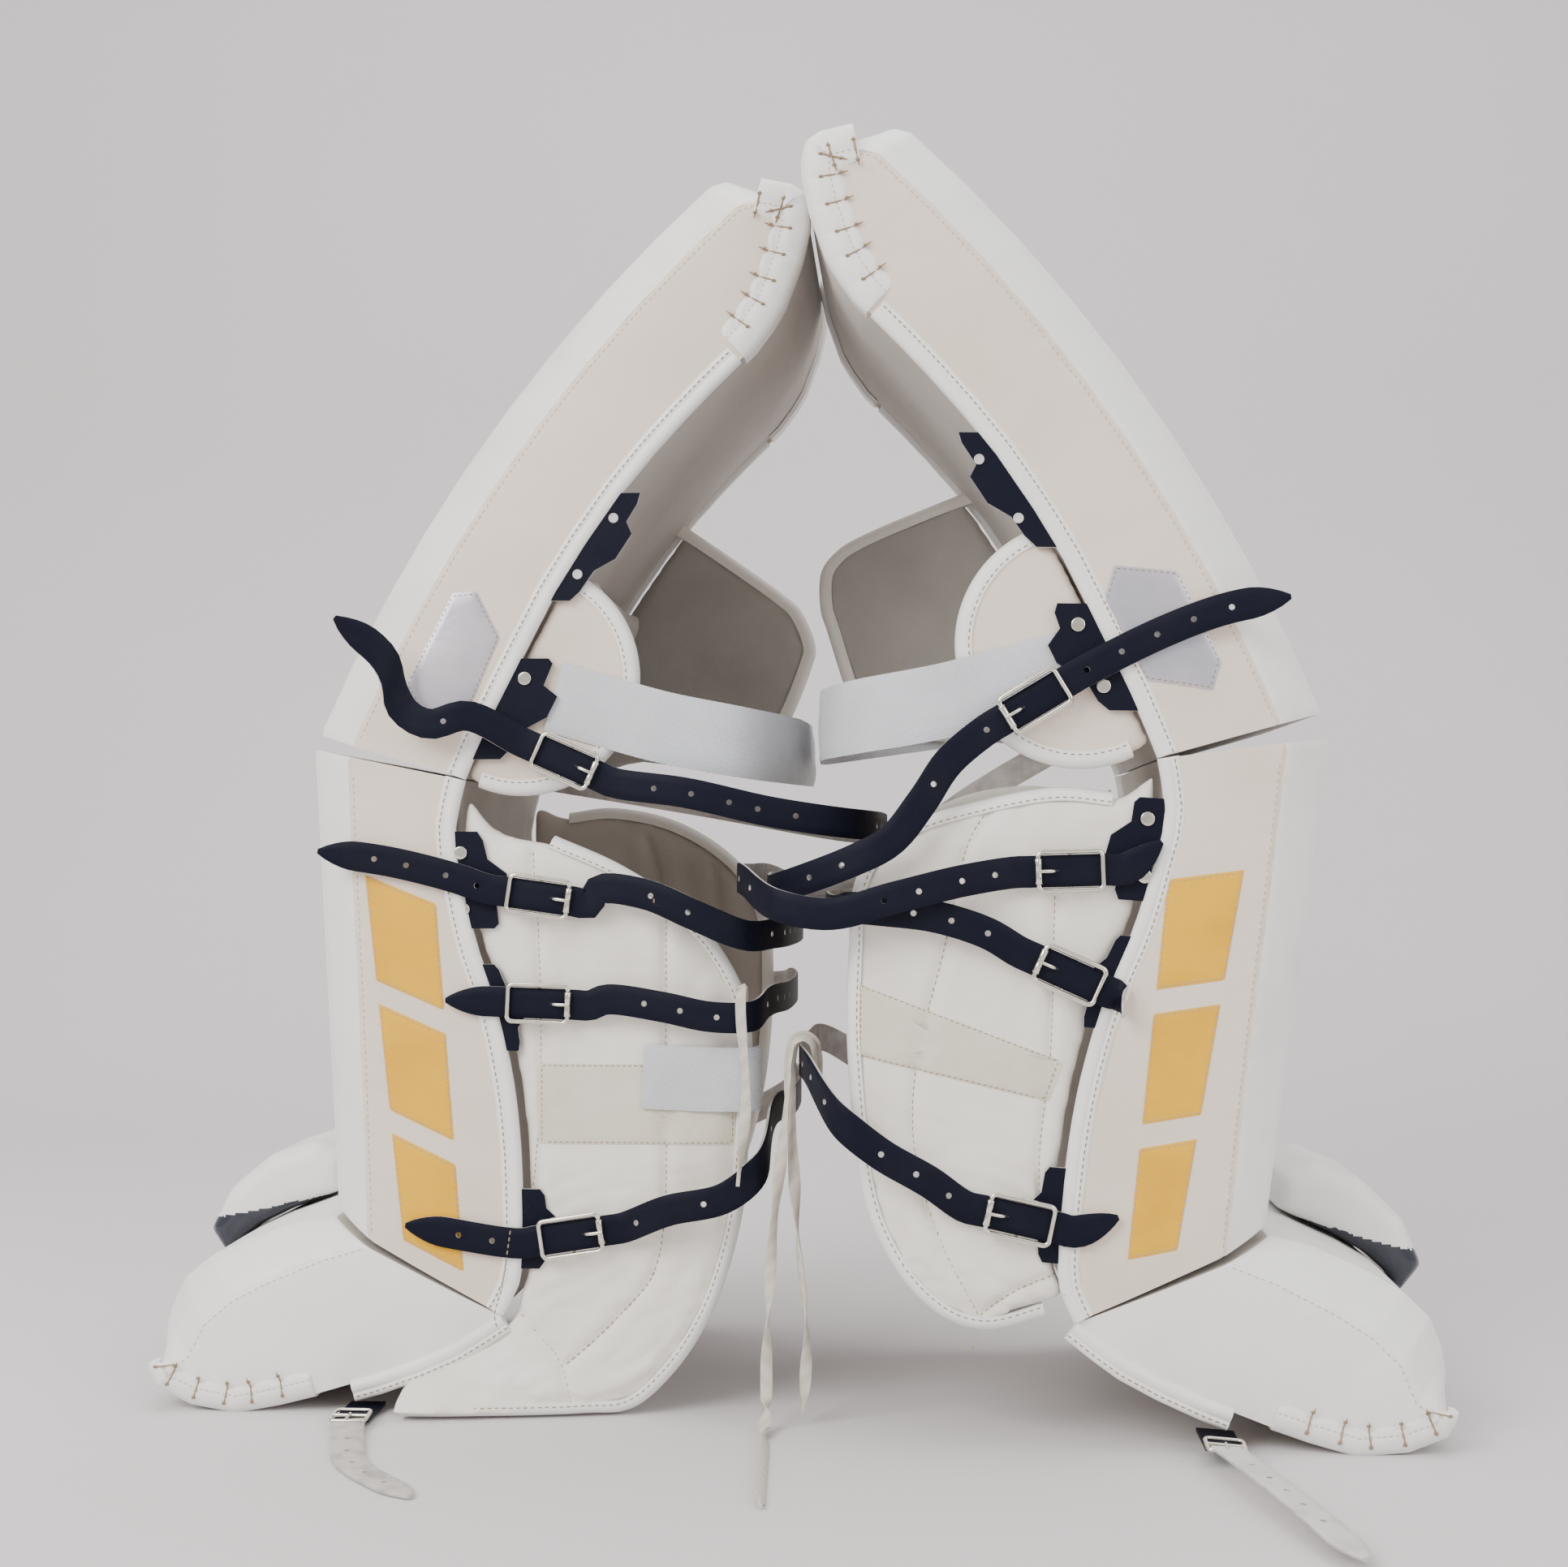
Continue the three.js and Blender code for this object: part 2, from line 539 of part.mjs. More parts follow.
function pad(side) {
  const stance = stances[side];
  const named = (name, geometry, material) => mesh(`${side}_${name}`, geometry, material);
  const shin = segment([ankleFront, shinTop], shinRear.getPoints(22), [[1, 2], [24, 0]]);
  const thighFront = Array.from({ length: 10 }, (_, i) => thighPoint(i / 9));
  const thighTop = thighTopShares.map(([b, up]) => thighPoint(1, b * thighDepth, up * thighDepth));
  const thigh = segment(thighFront, [...thighTop, ...thighRear.getPoints(14)], [[31, 0]]);
  const boot = segment(bootFront, [...bootSole, at(0, -clearance)], [[17, 0]]);
  const boots = new THREE.Group();
  const shins = new THREE.Group();
  const thighs = new THREE.Group();
  shins.add(named('shin_cover', geometryOf(shin.cover), creamNylon));
  shins.add(named('shin_core', geometryOf(shin.core), foam));
  thighs.add(named('thigh_cover', geometryOf(thigh.cover), creamNylon));
  thighs.add(named('thigh_core', geometryOf(thigh.core), foam));
  boots.add(named('boot_cover', geometryOf(boot.cover), whiteSkin));
  boots.add(named('boot_core', geometryOf(boot.core), foam));

  // Guard on the boot's inner half.
  const guardFoot = [[0.16, -0.075], [0.45, -0.09], [0.624, -0.08], [0.76, -0.03], [0.84, 0.06]];
  const guardTop = [[0.88, -0.2], [0.7, -0.4], [0.45, -0.5], [0.2, -0.47], [0.1, -0.3]];
  const guardScale = guardHeight / 42;
  const guardPoints = [
    ...guardFoot.map(([f, d]) => bootPoint(f, d).addScaledVector(bootDown, -1.5)),
    ...guardTop.map(([f, d]) => bootPoint(f, d * guardScale)),
  ];
  const guard = solidOf(across(guardPoints, padWidth * 0.48, padWidth - bevelAcross - 2, {
    bevelThickness: 12, bevelSize: 10, bevelOffset: -10, bevelSegments: 2,
  }));
  const clearBoot = slopedBlock(
    inset([...bootFront, ...bootSole, at(0, -clearance)], -clearance).slice(0, bootFront.length),
    inset([...bootFront, ...bootSole, at(0, -clearance)], -clearance).slice(bootFront.length),
    -5, padWidth + 5, clearance, clearance,
  );
  boots.add(named('boot_guard', geometryOf(guard.subtract(clearBoot)), navyLeather));

  // Knee cradle across the channel, behind the foot of the thigh rise.
  const cradleHeights = [0.3, 0.24, 0.18, 0.12, 0.06];
  const cradle = [
    ...cradleHeights.map((s) => thighEdge(kneePivot.y + s * thighLength, 2 * clearance)),
    ...cradleHeights.map((s) => thighEdge(kneePivot.y + s * thighLength, cradleThick)).reverse(),
  ];
  const cradleIn = wingFace + wingThick + 12;
  const cradleBlock = across(roundCorners(cradle, 3, 1), cradleIn, padWidth - cradleIn);
  thighs.add(named('knee_cradle', cradleBlock, quilt));

  // The pad's body with room round it, for the pieces that are cut to stand clear of it.
  const room = (points, gap) => solidOf(across(inset(points, -gap), -2 * padWidth, 2 * padWidth));
  const clearBody = [
    room([...thighFront, ...thighTop, ...thighRear.getPoints(14)], 2 * clearance),
    room([ankleFront, shinTop, ...shinRear.getPoints(22)], 2 * clearance),
    room([...bootFront, ...bootSole, at(0, -clearance)], 2 * clearance),
  ];

  // Calf wings.
  const top = 0.98 * kneePivot.y;
  const heights = [1, 0.85, 0.7, 0.55, 0.4, 0.25, 0.12, 0.03].map((s) => s * top);
  const wingFront = heights.map((z) => shinEdge(z, 2 * clearance));
  const outerRear = outerWingRear[side].map(([x, z]) => onShin(x, z));
  const outerFront = [...wingFront];
  if (side === 'left') {
    const ground = floorLevel + floorGap;
    outerRear.push(...[0.42, -0.1, -0.54].map((x) => onShin(x, 0).setY(ground)));
    outerFront.push(
      at(4, -clearance - 6),
      bootPoint(-0.472, 0.972).add(at(6, -9)),
      bootPoint(-0.339, 0.998).add(at(4, -10)),
      bootPoint(-0.1, 1).add(at(2, -10)),
    );
  }
  const flare = side === 'left' ? 38 : 8;
  const frontBow = side === 'left' ? 0.2 : 0;
  const share = (back) => frontBow + (1 - frontBow) * back;
  const outerBow = (down, back) => flare * smooth((down - 0.68) / 0.32) * share(back);
  const outerY = [wingFace, wingFace + wingThick];
  const innerY = [padWidth - wingFace - wingThick, padWidth - wingFace];
  const outerWing = cleared(leaf(outerFront, outerRear, ...outerY, outerBow), clearBody);
  shins.add(named('outer_calf_wing', outerWing, quilt));
  const innerRear = innerWingRear.map(([x, z]) => onShin(x, z));
  shins.add(named('inner_calf_wing', cleared(leaf(wingFront, innerRear, ...innerY), clearBody), quilt));

  // Knee wings.
  const discCentre = onKnee(...outerKneeDisc[side]);
  const discY = [wingFace, wingFace + kneeWingThick];
  const outerDisc = across(disc(discCentre, kneeWingRadius), ...discY);
  thighs.add(named('outer_knee_wing', cleared(outerDisc, clearBody), creamNylon));
  const flap = roundCorners(innerKneeWing[side].map(([x, z]) => onKnee(x, z)), 14);
  const flapY = [padWidth - wingFace - kneeWingThick, padWidth - wingFace];
  thighs.add(named('inner_knee_wing', cleared(across(flap, ...flapY), clearBody), greyLiner));

  // Leather tabs.
  const tabY = [tabFace, tabBack];
  Object.entries(tabs[side]).forEach(([name, [share, reach, half]]) => {
    const outline = tabOutline(shinEdge, share * shinLength, reach, half);
    shins.add(named(`${name}_tab`, across(outline, ...tabY), navyLeather));
  });
  Object.entries(kneeTabs[side]).forEach(([name, spot]) => {
    const centre = onKnee(...spot);
    const [reach, half] = name === 'thigh' ? [26, 34] : [36, 32];
    const outline = tabOutline(thighEdge, centre.y, reach, half);
    thighs.add(named(`${name}_tab`, across(outline, ...tabY), navyLeather));
  });

  // Straps with their buckles.
  Object.entries(straps[side]).forEach(([name, strap]) => {
    const { centre, slope, points } = strapPath(name, strap);
    const body = strap.thigh ? thighs : shins;
    const line = solidOf(ribbon(points, strapWidth, strapThick, 44));
    const holed = line.subtract(tongueHole(centre.x, centre.y, slope));
    body.add(named(`${name}_strap`, geometryOf(holed), navyLeather));
    body.add(named(`${name}_buckle`, geometryOf(buckle(centre.x, centre.y, slope)), nickel));
  });

  // Elastic band round the back of the knee.
  const bandAt = (x, z, y) => {
    const p = onKnee(x, z);
    return [p.x, y, p.y];
  };
  const outer = bandCentre;
  const inner = padWidth - bandCentre;
  const band = [
    bandAt(0.13, 0.12, outer), bandAt(0.2, 0.1, outer), bandAt(0.29, 0.075, outer - 1),
    bandAt(0.4, 0.055, 14),
    bandAt(0.46, 0.05, 70), bandAt(0.475, 0.055, padWidth * 0.6), bandAt(0.478, 0.06, padWidth - 26),
    bandAt(0.46, 0.065, padWidth - 4), bandAt(0.43, 0.07, inner + 3), bandAt(0.3, 0.09, inner),
    bandAt(0.14, 0.11, inner),
  ];
  thighs.add(named('elastic_knee_band', ribbon(band, bandWidth, bandThick, 28), elastic));
  if (side === 'left') {
    const turns = [[0.715, 0.505, -1], [1.05, 0.5, -1.2], [1.24, 0.5, 0], [1.3, 0.5, 11], [1.24, 0.5, 22.5],
      [0.9, 0.5, 22.5]];
    const wrap = turns.map(([x, z, y]) => [onShin(x, z).x, y, onShin(x, z).y]);
    shins.add(named('elastic_calf_strap', ribbon(wrap, calfBandWidth, bandThick, 20), elastic));
  }

  // Toe strap under the boot's outer edge, with its tab.
  const toeZ = floorLevel;
  const tabX = bootPoint(0.1, 1).x;
  const toeTab = new THREE.BoxGeometry(22, 44, 2).translate(tabX, -10, toeZ + 3.4);
  boots.add(named('toe_tab', toeTab, navyLeather));
  const tips = { left: [[0, -36, 4.6], [8, -70, 3], [24, -120, 1.6], [72, -182, 1.6]],
    right: [[0, -36, 6], [-10, -80, 7], [-24, -140, 7], [-42, -215, 4]] };
  const toePoints = tips[side].map(([x, y, z]) => [tabX + x, y, toeZ + z]);
  const flatUps = [new THREE.Vector3(1, 0, 0), new THREE.Vector3(1, 0, 0)];
  boots.add(named('toe_strap', ribbon(toePoints, strapWidth, strapThick, 14, flatUps), paleLeather));

  // Stand the pad up.
  thighs.children.forEach((child) => child.geometry.translate(-kneePivot.x, 0, -kneePivot.y));
  thighs.position.set(kneePivot.x, 0, kneePivot.y);
  thighs.rotation.y = rad(stance.kneeBend);
  const whole = new THREE.Group();
  whole.name = 'stance';
  whole.add(shins, thighs, boots);
  whole.rotation.y = -rad(stance.lean);
  const turned = new THREE.Group();
  turned.add(whole);
  turned.updateMatrixWorld(true);
  const box = new THREE.Box3().setFromObject(boots, true);
  const tops = new THREE.Box3().setFromObject(turned.getObjectByName(`${side}_thigh_cover`), true);
  turned.position.set(-stance.side * (tops.max.x + topGap / 2), stance.back, -box.min.z);
  turned.scale.x = stance.side;
  return turned;
}

// ---------------------------------------------------------------- laces
// A lace looped over a strap at an anchor: the loop in [x, y, z] from the anchor, its fall in
// [x, y] from the anchor with a share of the anchor's height, and its lie in [x, y] on the floor.
const laceRoutes = {
  left_lace: {
    hangs: ['left', 'shin', 'run'],
    loop: [
      [0, 8, -9], [0, 8, 5], [0, 5.6, 14.4], [0, 0, 17.5], [0, -5.6, 14.4], [0, -8, 5],
      [1, -8.5, -12],
    ],
    fall: [[3, -8.5, 0.86], [3, -9.5, 0.76], [1, -14, 0.68], [-1, -16, 0.59]],
    lie: [],
  },
  right_lace: {
    hangs: ['right', 'ankle', 'turn'],
    loop: [
      [8, 2, -9], [8, 2, 5], [5.6, 2, 14.4], [0, 2, 17.5], [-5.6, 2, 14.4], [-8, 1, 5],
      [-8.4, 0, -12],
    ],
    fall: [[-7, -1, 0.8], [-3, -3, 0.5], [2, -3, 0.25], [0, -2, 0.03]],
    lie: [],
  },
  right_lace_tail: {
    hangs: ['right', 'ankle', 'turn'],
    loop: [
      [8, -6, -9], [8, -6, 5], [5.6, -6, 14.4], [0, -6, 17.5], [-5.6, -6, 14.4], [-8, -7, 5],
      [-9, -8, -12],
    ],
    fall: [[-12, -9, 0.8], [-19, -10, 0.5], [-22, -11, 0.22], [-22, -15, 0.08], [-22, -24, 0.028]],
    lie: [[-21.5, -40], [-20, -60], [-18, -100], [-16, -140], [-14, -180]],
  },
};

function laceAnchor(pads, [side, name, place]) {
  const strap = straps[side][name];
  const [x, z] = place === 'turn' ? strap.turn : strap.run[strap.run.length - 1];
  const p = onShin(x, z);
  const out = strap.run[strap.run.length - 1][2];
  const local = place === 'turn'
    ? new THREE.Vector3(p.x - 3.5, 50, p.y)
    : new THREE.Vector3(p.x - 6, strapCentre - out - 0.5, p.y);
  return pads[side].getObjectByName('stance').localToWorld(local);
}

function lace(anchor, { loop, fall, lie }) {
  const points = [
    ...loop.map(([x, y, z]) => new THREE.Vector3(anchor.x + x, anchor.y + y, anchor.z + z)),
    ...fall.map(([x, y, share]) => new THREE.Vector3(anchor.x + x, anchor.y + y, anchor.z * share)),
    ...lie.map(([x, y]) => new THREE.Vector3(anchor.x + x, anchor.y + y, laceAcross / 2 + floorGap)),
  ];
  const line = new THREE.CatmullRomCurve3(points, false, 'centripetal');
  const section = new THREE.Shape(disc(at(0, 0), laceAcross / 2, 8));
  const steps = Math.round(line.getLength() / (2 * laceAcross));
  return new THREE.ExtrudeGeometry(section, { steps, bevelEnabled: false, extrudePath: line });
}

const pair = new THREE.Group();
pair.name = 'goalie_leg_pads';
const pads = { left: pad('left'), right: pad('right') };
pair.add(pads.left, pads.right);
pair.updateMatrixWorld(true);
const bounds = new THREE.Box3().setFromObject(pair, true);
Object.entries(laceRoutes).forEach(([name, route]) => {
  pair.add(mesh(name, lace(laceAnchor(pads, route.hangs), route), laceWeave));
});
const middle = bounds.getCenter(new THREE.Vector3());
pair.position.set(-middle.x, -middle.y, -bounds.min.z);

export default pair;
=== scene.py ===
import json
import math
import bmesh
import bpy
import numpy as np
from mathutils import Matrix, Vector, noise
from mathutils.bvhtree import BVHTree


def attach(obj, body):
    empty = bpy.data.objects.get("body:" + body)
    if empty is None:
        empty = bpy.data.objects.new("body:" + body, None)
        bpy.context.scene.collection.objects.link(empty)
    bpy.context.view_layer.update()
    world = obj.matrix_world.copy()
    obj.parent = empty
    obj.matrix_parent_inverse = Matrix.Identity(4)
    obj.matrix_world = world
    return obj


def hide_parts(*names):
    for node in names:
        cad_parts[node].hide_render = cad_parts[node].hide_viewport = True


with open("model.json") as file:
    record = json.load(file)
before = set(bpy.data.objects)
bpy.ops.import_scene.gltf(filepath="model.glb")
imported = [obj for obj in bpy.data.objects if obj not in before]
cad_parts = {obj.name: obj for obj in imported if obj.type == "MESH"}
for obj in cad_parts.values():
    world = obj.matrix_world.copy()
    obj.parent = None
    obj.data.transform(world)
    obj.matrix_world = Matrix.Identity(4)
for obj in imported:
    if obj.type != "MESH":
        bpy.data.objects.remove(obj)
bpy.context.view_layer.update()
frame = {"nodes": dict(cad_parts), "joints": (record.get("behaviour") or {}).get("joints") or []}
nodes = frame["nodes"]
joints = {j["name"]: j for j in frame["joints"]}
sides = ("left", "right")
mm = 0.001
print("frame loaded:", len(nodes), "nodes")

# The camera faces the buckled sides, a little below the middle.
ankle = joints["left_boot_flex"]["pos_m"]
cameraView = {"place": (ankle[0] + 0.259, ankle[1] - 1.4995, 0.348), "turn": 3.42, "rise": 1.98, "lens": 49.9}
cameraData = bpy.data.cameras.new("camera")
cameraData.lens = cameraView["lens"]
cameraData.sensor_width = 36
camera = bpy.data.objects.new("camera", cameraData)
camera.location = cameraView["place"]
camera.rotation_euler = (math.radians(90 + cameraView["rise"]), 0, math.radians(cameraView["turn"]))
bpy.context.scene.collection.objects.link(camera)
bpy.context.scene.camera = camera

# The pad's driving sizes in mm and degrees, and the shares that its profiles are drawn with.
padSize = {
    "shinLength": 296.0, "shinDepth": 125.0, "shinLean": 3.4, "kneeDepth": 105.0, "kneeNotch": 5.5,
    "kneeBreakTilt": 11.5, "thighLength": 440.0, "thighDepth": 100.0, "thighStart": 23.0, "thighTurn": 25.0,
    "ankleDepth": 127.0, "ankleTilt": 28.8, "ankleNotch": 2.8, "bootLength": 136.5, "bootDepth": 102.7,
    "bootPitch": 23.0, "clearance": 0.4,
}


def along(degrees):
    return np.array([math.sin(math.radians(degrees)), math.cos(math.radians(degrees))])


def backFrom(degrees):
    return np.array([math.cos(math.radians(degrees)), -math.sin(math.radians(degrees))])


ankleFront = -padSize["ankleDepth"] * backFrom(padSize["ankleTilt"])
shinTop = ankleFront + padSize["shinLength"] * along(-padSize["shinLean"])
kneePivot = shinTop + padSize["kneeDepth"] * backFrom(padSize["kneeBreakTilt"])


def shinPoint(share, depth):
    return (ankleFront + share * padSize["shinLength"] * along(-padSize["shinLean"])
            + depth * padSize["shinDepth"] * backFrom(-padSize["shinLean"]))


def thighPoint(share, depth=0.0, over=0.0):
    foot = kneePivot + (1 - padSize["kneeDepth"]) * backFrom(padSize["kneeBreakTilt"] + padSize["kneeNotch"])
    lean = padSize["thighStart"] + padSize["thighTurn"] * share
    radius = padSize["thighLength"] / math.radians(padSize["thighTurn"])
    return (foot + radius * (backFrom(padSize["thighStart"]) - backFrom(lean))
            + depth * padSize["thighDepth"] * backFrom(lean) + over * padSize["thighDepth"] * along(lean))


def bootPoint(forward, down):
    pitch = math.radians(padSize["bootPitch"])
    start = -padSize["ankleDepth"] * backFrom(padSize["ankleTilt"] - padSize["ankleNotch"])
    return (start + forward * padSize["bootLength"] * np.array([-math.cos(pitch), -math.sin(pitch)])
            + down * padSize["bootDepth"] * np.array([math.sin(pitch), -math.cos(pitch)]))


def splinePoints(points, steps):
    # A smooth line through points, sampled at even steps of its own parameter.
    p = np.array(points, float)
    out = []
    for at in np.linspace(0, len(p) - 1, steps + 1):
        i = min(int(at), len(p) - 1)
        t = at - i
        a, b, c, d = (p[min(max(i + k, 0), len(p) - 1)] for k in (-1, 0, 1, 2))
        a = p[i] if i == 0 else a
        before, after = (c - a) / 2, (d - b) / 2
        out.append((2 * b - 2 * c + before + after) * t ** 3 + (-3 * b + 3 * c - 2 * before - after) * t ** 2
                   + before * t + b)
    return np.array(out)


# Where each pad stands. A pad's own frame is in mm: x back to the leg, y inwards, z up the shin.
padStance = {
    "left": {"way": 1, "lean": 0.0, "bend": 0.0},
    "right": {"way": -1, "lean": 4.3, "bend": 3.2},
}
padWidth = 279.0


def turnMatrix(degrees):
    a = math.radians(degrees)
    return np.array([[math.cos(a), -math.sin(a)], [math.sin(a), math.cos(a)]])


def place(side, points, thigh=False):
    stance = padStance[side]
    p = np.array(points, float).reshape(-1, 3)
    xz = p[:, [0, 2]]
    if thigh:
        xz = (xz - kneePivot) @ turnMatrix(-stance["bend"]).T + kneePivot
    xz = xz @ turnMatrix(stance["lean"]).T
    pivot = np.array(joints[side + "_boot_flex"]["pos_m"])
    return np.stack([
        pivot[0] + stance["way"] * xz[:, 0] * mm,
        pivot[1] + (p[:, 1] - padWidth / 2) * mm,
        pivot[2] + xz[:, 1] * mm,
    ], 1)


def unplace(side, points, thigh=False):
    stance = padStance[side]
    pivot = np.array(joints[side + "_boot_flex"]["pos_m"])
    p = (np.array(points, float).reshape(-1, 3) - pivot) / mm
    xz = np.stack([stance["way"] * p[:, 0], p[:, 2]], 1) @ turnMatrix(-stance["lean"]).T
    if thigh:
        xz = (xz - kneePivot) @ turnMatrix(stance["bend"]).T + kneePivot
    return np.stack([xz[:, 0], p[:, 1] + padWidth / 2, xz[:, 1]], 1)


# Finishes.
def finish(name, color, rough, bumps=(), spots=(), sheen=0.0, metal=0.0, coat=0.0, specular=0.5):
    material = bpy.data.materials.new(name)
    material.use_nodes = True
    tree = material.node_tree
    shader = tree.nodes["Principled BSDF"]
    shader.inputs["Base Color"].default_value = (*color, 1)
    shader.inputs["Roughness"].default_value = rough
    shader.inputs["Metallic"].default_value = metal
    shader.inputs["Coat Weight"].default_value = coat
    shader.inputs["Sheen Weight"].default_value = sheen
    shader.inputs["Specular IOR Level"].default_value = specular
    where = tree.nodes.new("ShaderNodeTexCoord").outputs["Object"]
    height = None
    for scale, strength, detail in bumps:
        grain = tree.nodes.new("ShaderNodeTexNoise")
        grain.inputs["Scale"].default_value = scale
        grain.inputs["Detail"].default_value = detail
        tree.links.new(where, grain.inputs["Vector"])
        height = addBump(tree, grain.outputs["Fac"], strength, height)
    mixed = None
    for scale, tint, low, high in spots:
        patch = tree.nodes.new("ShaderNodeTexNoise")
        patch.inputs["Scale"].default_value = scale
        patch.inputs["Detail"].default_value = 4
        tree.links.new(where, patch.inputs["Vector"])
        share = tree.nodes.new("ShaderNodeMapRange")
        share.inputs["From Min"].default_value = low
        share.inputs["From Max"].default_value = high
        tree.links.new(patch.outputs["Fac"], share.inputs["Value"])
        mix = tree.nodes.new("ShaderNodeMix")
        mix.data_type = "RGBA"
        mix.inputs[6].default_value = (*color, 1)
        mix.inputs[7].default_value = (*tint, 1)
        tree.links.new(share.outputs[0], mix.inputs[0])
        if mixed:
            tree.links.new(mixed, mix.inputs[6])
        mixed = mix.outputs[2]
    if mixed:
        tree.links.new(mixed, shader.inputs["Base Color"])
    if height:
        tree.links.new(height, shader.inputs["Normal"])
    return material


def addBump(tree, value, strength, before=None):
    bump = tree.nodes.new("ShaderNodeBump")
    bump.inputs["Strength"].default_value = strength
    bump.inputs["Distance"].default_value = 0.0006
    tree.links.new(value, bump.inputs["Height"])
    if before:
        tree.links.new(before, bump.inputs["Normal"])
    return bump.outputs["Normal"]


def addWeave(material, pitch, strength, turned=0.0):
    tree = material.node_tree
    shader = tree.nodes["Principled BSDF"]
    where = tree.nodes.new("ShaderNodeTexCoord").outputs["Object"]
    before = shader.inputs["Normal"].links[0].from_socket if shader.inputs["Normal"].links else None
    for direction in ("X", "Z"):
        turn = tree.nodes.new("ShaderNodeMapping")
        turn.inputs["Rotation"].default_value = (0, turned, 0)
        tree.links.new(where, turn.inputs["Vector"])
        thread = tree.nodes.new("ShaderNodeTexWave")
        thread.bands_direction = direction
        thread.inputs["Scale"].default_value = 1 / (pitch * 20 / math.tau) * 1.0
        thread.inputs["Distortion"].default_value = 0.4
        thread.inputs["Detail Scale"].default_value = 2
        tree.links.new(turn.outputs["Vector"], thread.inputs["Vector"])
        before = addBump(tree, thread.outputs["Fac"], strength, before)
    tree.links.new(before, shader.inputs["Normal"])
    return material


whiteLeather = finish("whiteLeather", (0.88, 0.872, 0.85), 0.42, bumps=[(900, 0.12, 3), (60, 0.1, 2)],
                      spots=[(14, (0.77, 0.755, 0.72), 0.5, 0.85)], specular=0.4)
creamNylon = addWeave(finish("creamNylon", (0.8, 0.685, 0.585), 0.62, bumps=[(70, 0.35, 3)],
                             spots=[(9, (0.73, 0.615, 0.51), 0.45, 0.8)], sheen=0.15), 0.0009, 0.12)
quiltNylon = addWeave(finish("quiltNylon", (0.86, 0.82, 0.755), 0.55, bumps=[(55, 0.5, 4)],
                             spots=[(12, (0.72, 0.67, 0.58), 0.5, 0.85)], sheen=0.15), 0.0009, 0.12)
hookLoop = finish("hookLoop", (0.71, 0.655, 0.53), 0.95, bumps=[(1400, 0.9, 2), (260, 0.5, 3)],
                  spots=[(30, (0.76, 0.72, 0.61), 0.4, 0.7)], sheen=0.3)
# Painted shade: the quilted nylon at about half its brightness, for the inner knee wings that lie in shadow.
paintedShadeGrey = finish("paintedShadeGrey", (0.42, 0.395, 0.36), 0.9, bumps=[(1200, 0.5, 3), (90, 0.3, 3)],
                   spots=[(18, (0.36, 0.335, 0.305), 0.4, 0.75)], sheen=0.3)
# Painted shade: a darker copy of the nylon, for the pad rear faces, lower break faces, inner calf wings and knee
# cradles that lie in shadow.
paintedShadeCloth = finish("paintedShadeCloth", (0.5, 0.45, 0.4), 0.85, bumps=[(900, 0.4, 3), (60, 0.4, 3)],
                      spots=[(14, (0.42, 0.37, 0.32), 0.4, 0.75)], sheen=0.2)
navyLeather = finish("navyLeather", (0.004, 0.005, 0.014), 0.5, bumps=[(420, 0.3, 4), (2400, 0.25, 2)],
                     spots=[(26, (0.006, 0.007, 0.015), 0.45, 0.7)], specular=0.12)
cutEdge = finish("cutEdge", (0.55, 0.52, 0.5), 0.9, bumps=[(1500, 0.8, 3)],
                 spots=[(90, (0.38, 0.35, 0.33), 0.45, 0.7)])
paleLeather = finish("paleLeather", (0.62, 0.6, 0.57), 0.75, bumps=[(900, 0.5, 3), (120, 0.3, 3)],
                     spots=[(50, (0.5, 0.48, 0.45), 0.45, 0.75)])
elasticWeb = addWeave(finish("elasticWeb", (0.62, 0.64, 0.68), 0.6, bumps=[(200, 0.2, 2)],
                             spots=[(20, (0.56, 0.575, 0.61), 0.4, 0.7)], sheen=0.2), 0.0014, 0.35, 0.18)
nickel = finish("nickel", (0.76, 0.72, 0.64), 0.17, bumps=[(160, 0.05, 2)],
                spots=[(120, (0.6, 0.55, 0.47), 0.5, 0.8)], metal=1.0)
thread = finish("thread", (0.36, 0.26, 0.16), 0.8, bumps=[(3000, 0.6, 2)])
paleThread = finish("paleThread", (0.5, 0.43, 0.34), 0.8, bumps=[(3000, 0.6, 2)])
goldCloth = addWeave(finish("goldCloth", (0.82, 0.43, 0.0), 0.55, bumps=[(300, 0.25, 3)],
                            spots=[(25, (0.74, 0.37, 0.0), 0.45, 0.75)]), 0.0008, 0.2)
silverFoil = finish("silverFoil", (0.5, 0.5, 0.56), 0.33, bumps=[(240, 0.15, 2)],
                    spots=[(22, (0.62, 0.57, 0.62), 0.4, 0.65)], metal=0.55)
darkGloss = finish("darkGloss", (0.012, 0.014, 0.028), 0.2, bumps=[(200, 0.1, 2)],
                   spots=[(40, (0.02, 0.022, 0.035), 0.4, 0.7)], coat=0.4)
redCloth = finish("redCloth", (0.38, 0.02, 0.02), 0.7, bumps=[(900, 0.4, 2)])
print("finishes made")


# Making pieces.
def newPiece(name, points, faces, materials, faceSlots=None, angle=40, recalc=True):
    mesh = bpy.data.meshes.new(name)
    mesh.from_pydata([tuple(p) for p in points], [], [tuple(f) for f in faces])
    for material in materials:
        mesh.materials.append(material)
    if faceSlots is not None:
        mesh.polygons.foreach_set("material_index", list(faceSlots))
    piece = bpy.data.objects.new(name, mesh)
    bpy.context.scene.collection.objects.link(piece)
    if recalc:
        form = bmesh.new()
        form.from_mesh(mesh)
        bmesh.ops.recalc_face_normals(form, faces=form.faces)
        form.to_mesh(mesh)
        form.free()
    smoothByAngle(piece, angle)
    return piece


def only(piece):
    bpy.ops.object.select_all(action="DESELECT")
    piece.select_set(True)
    bpy.context.view_layer.objects.active = piece


def smoothByAngle(piece, angle=40):
    only(piece)
    bpy.ops.object.shade_smooth_by_angle(angle=math.radians(angle))


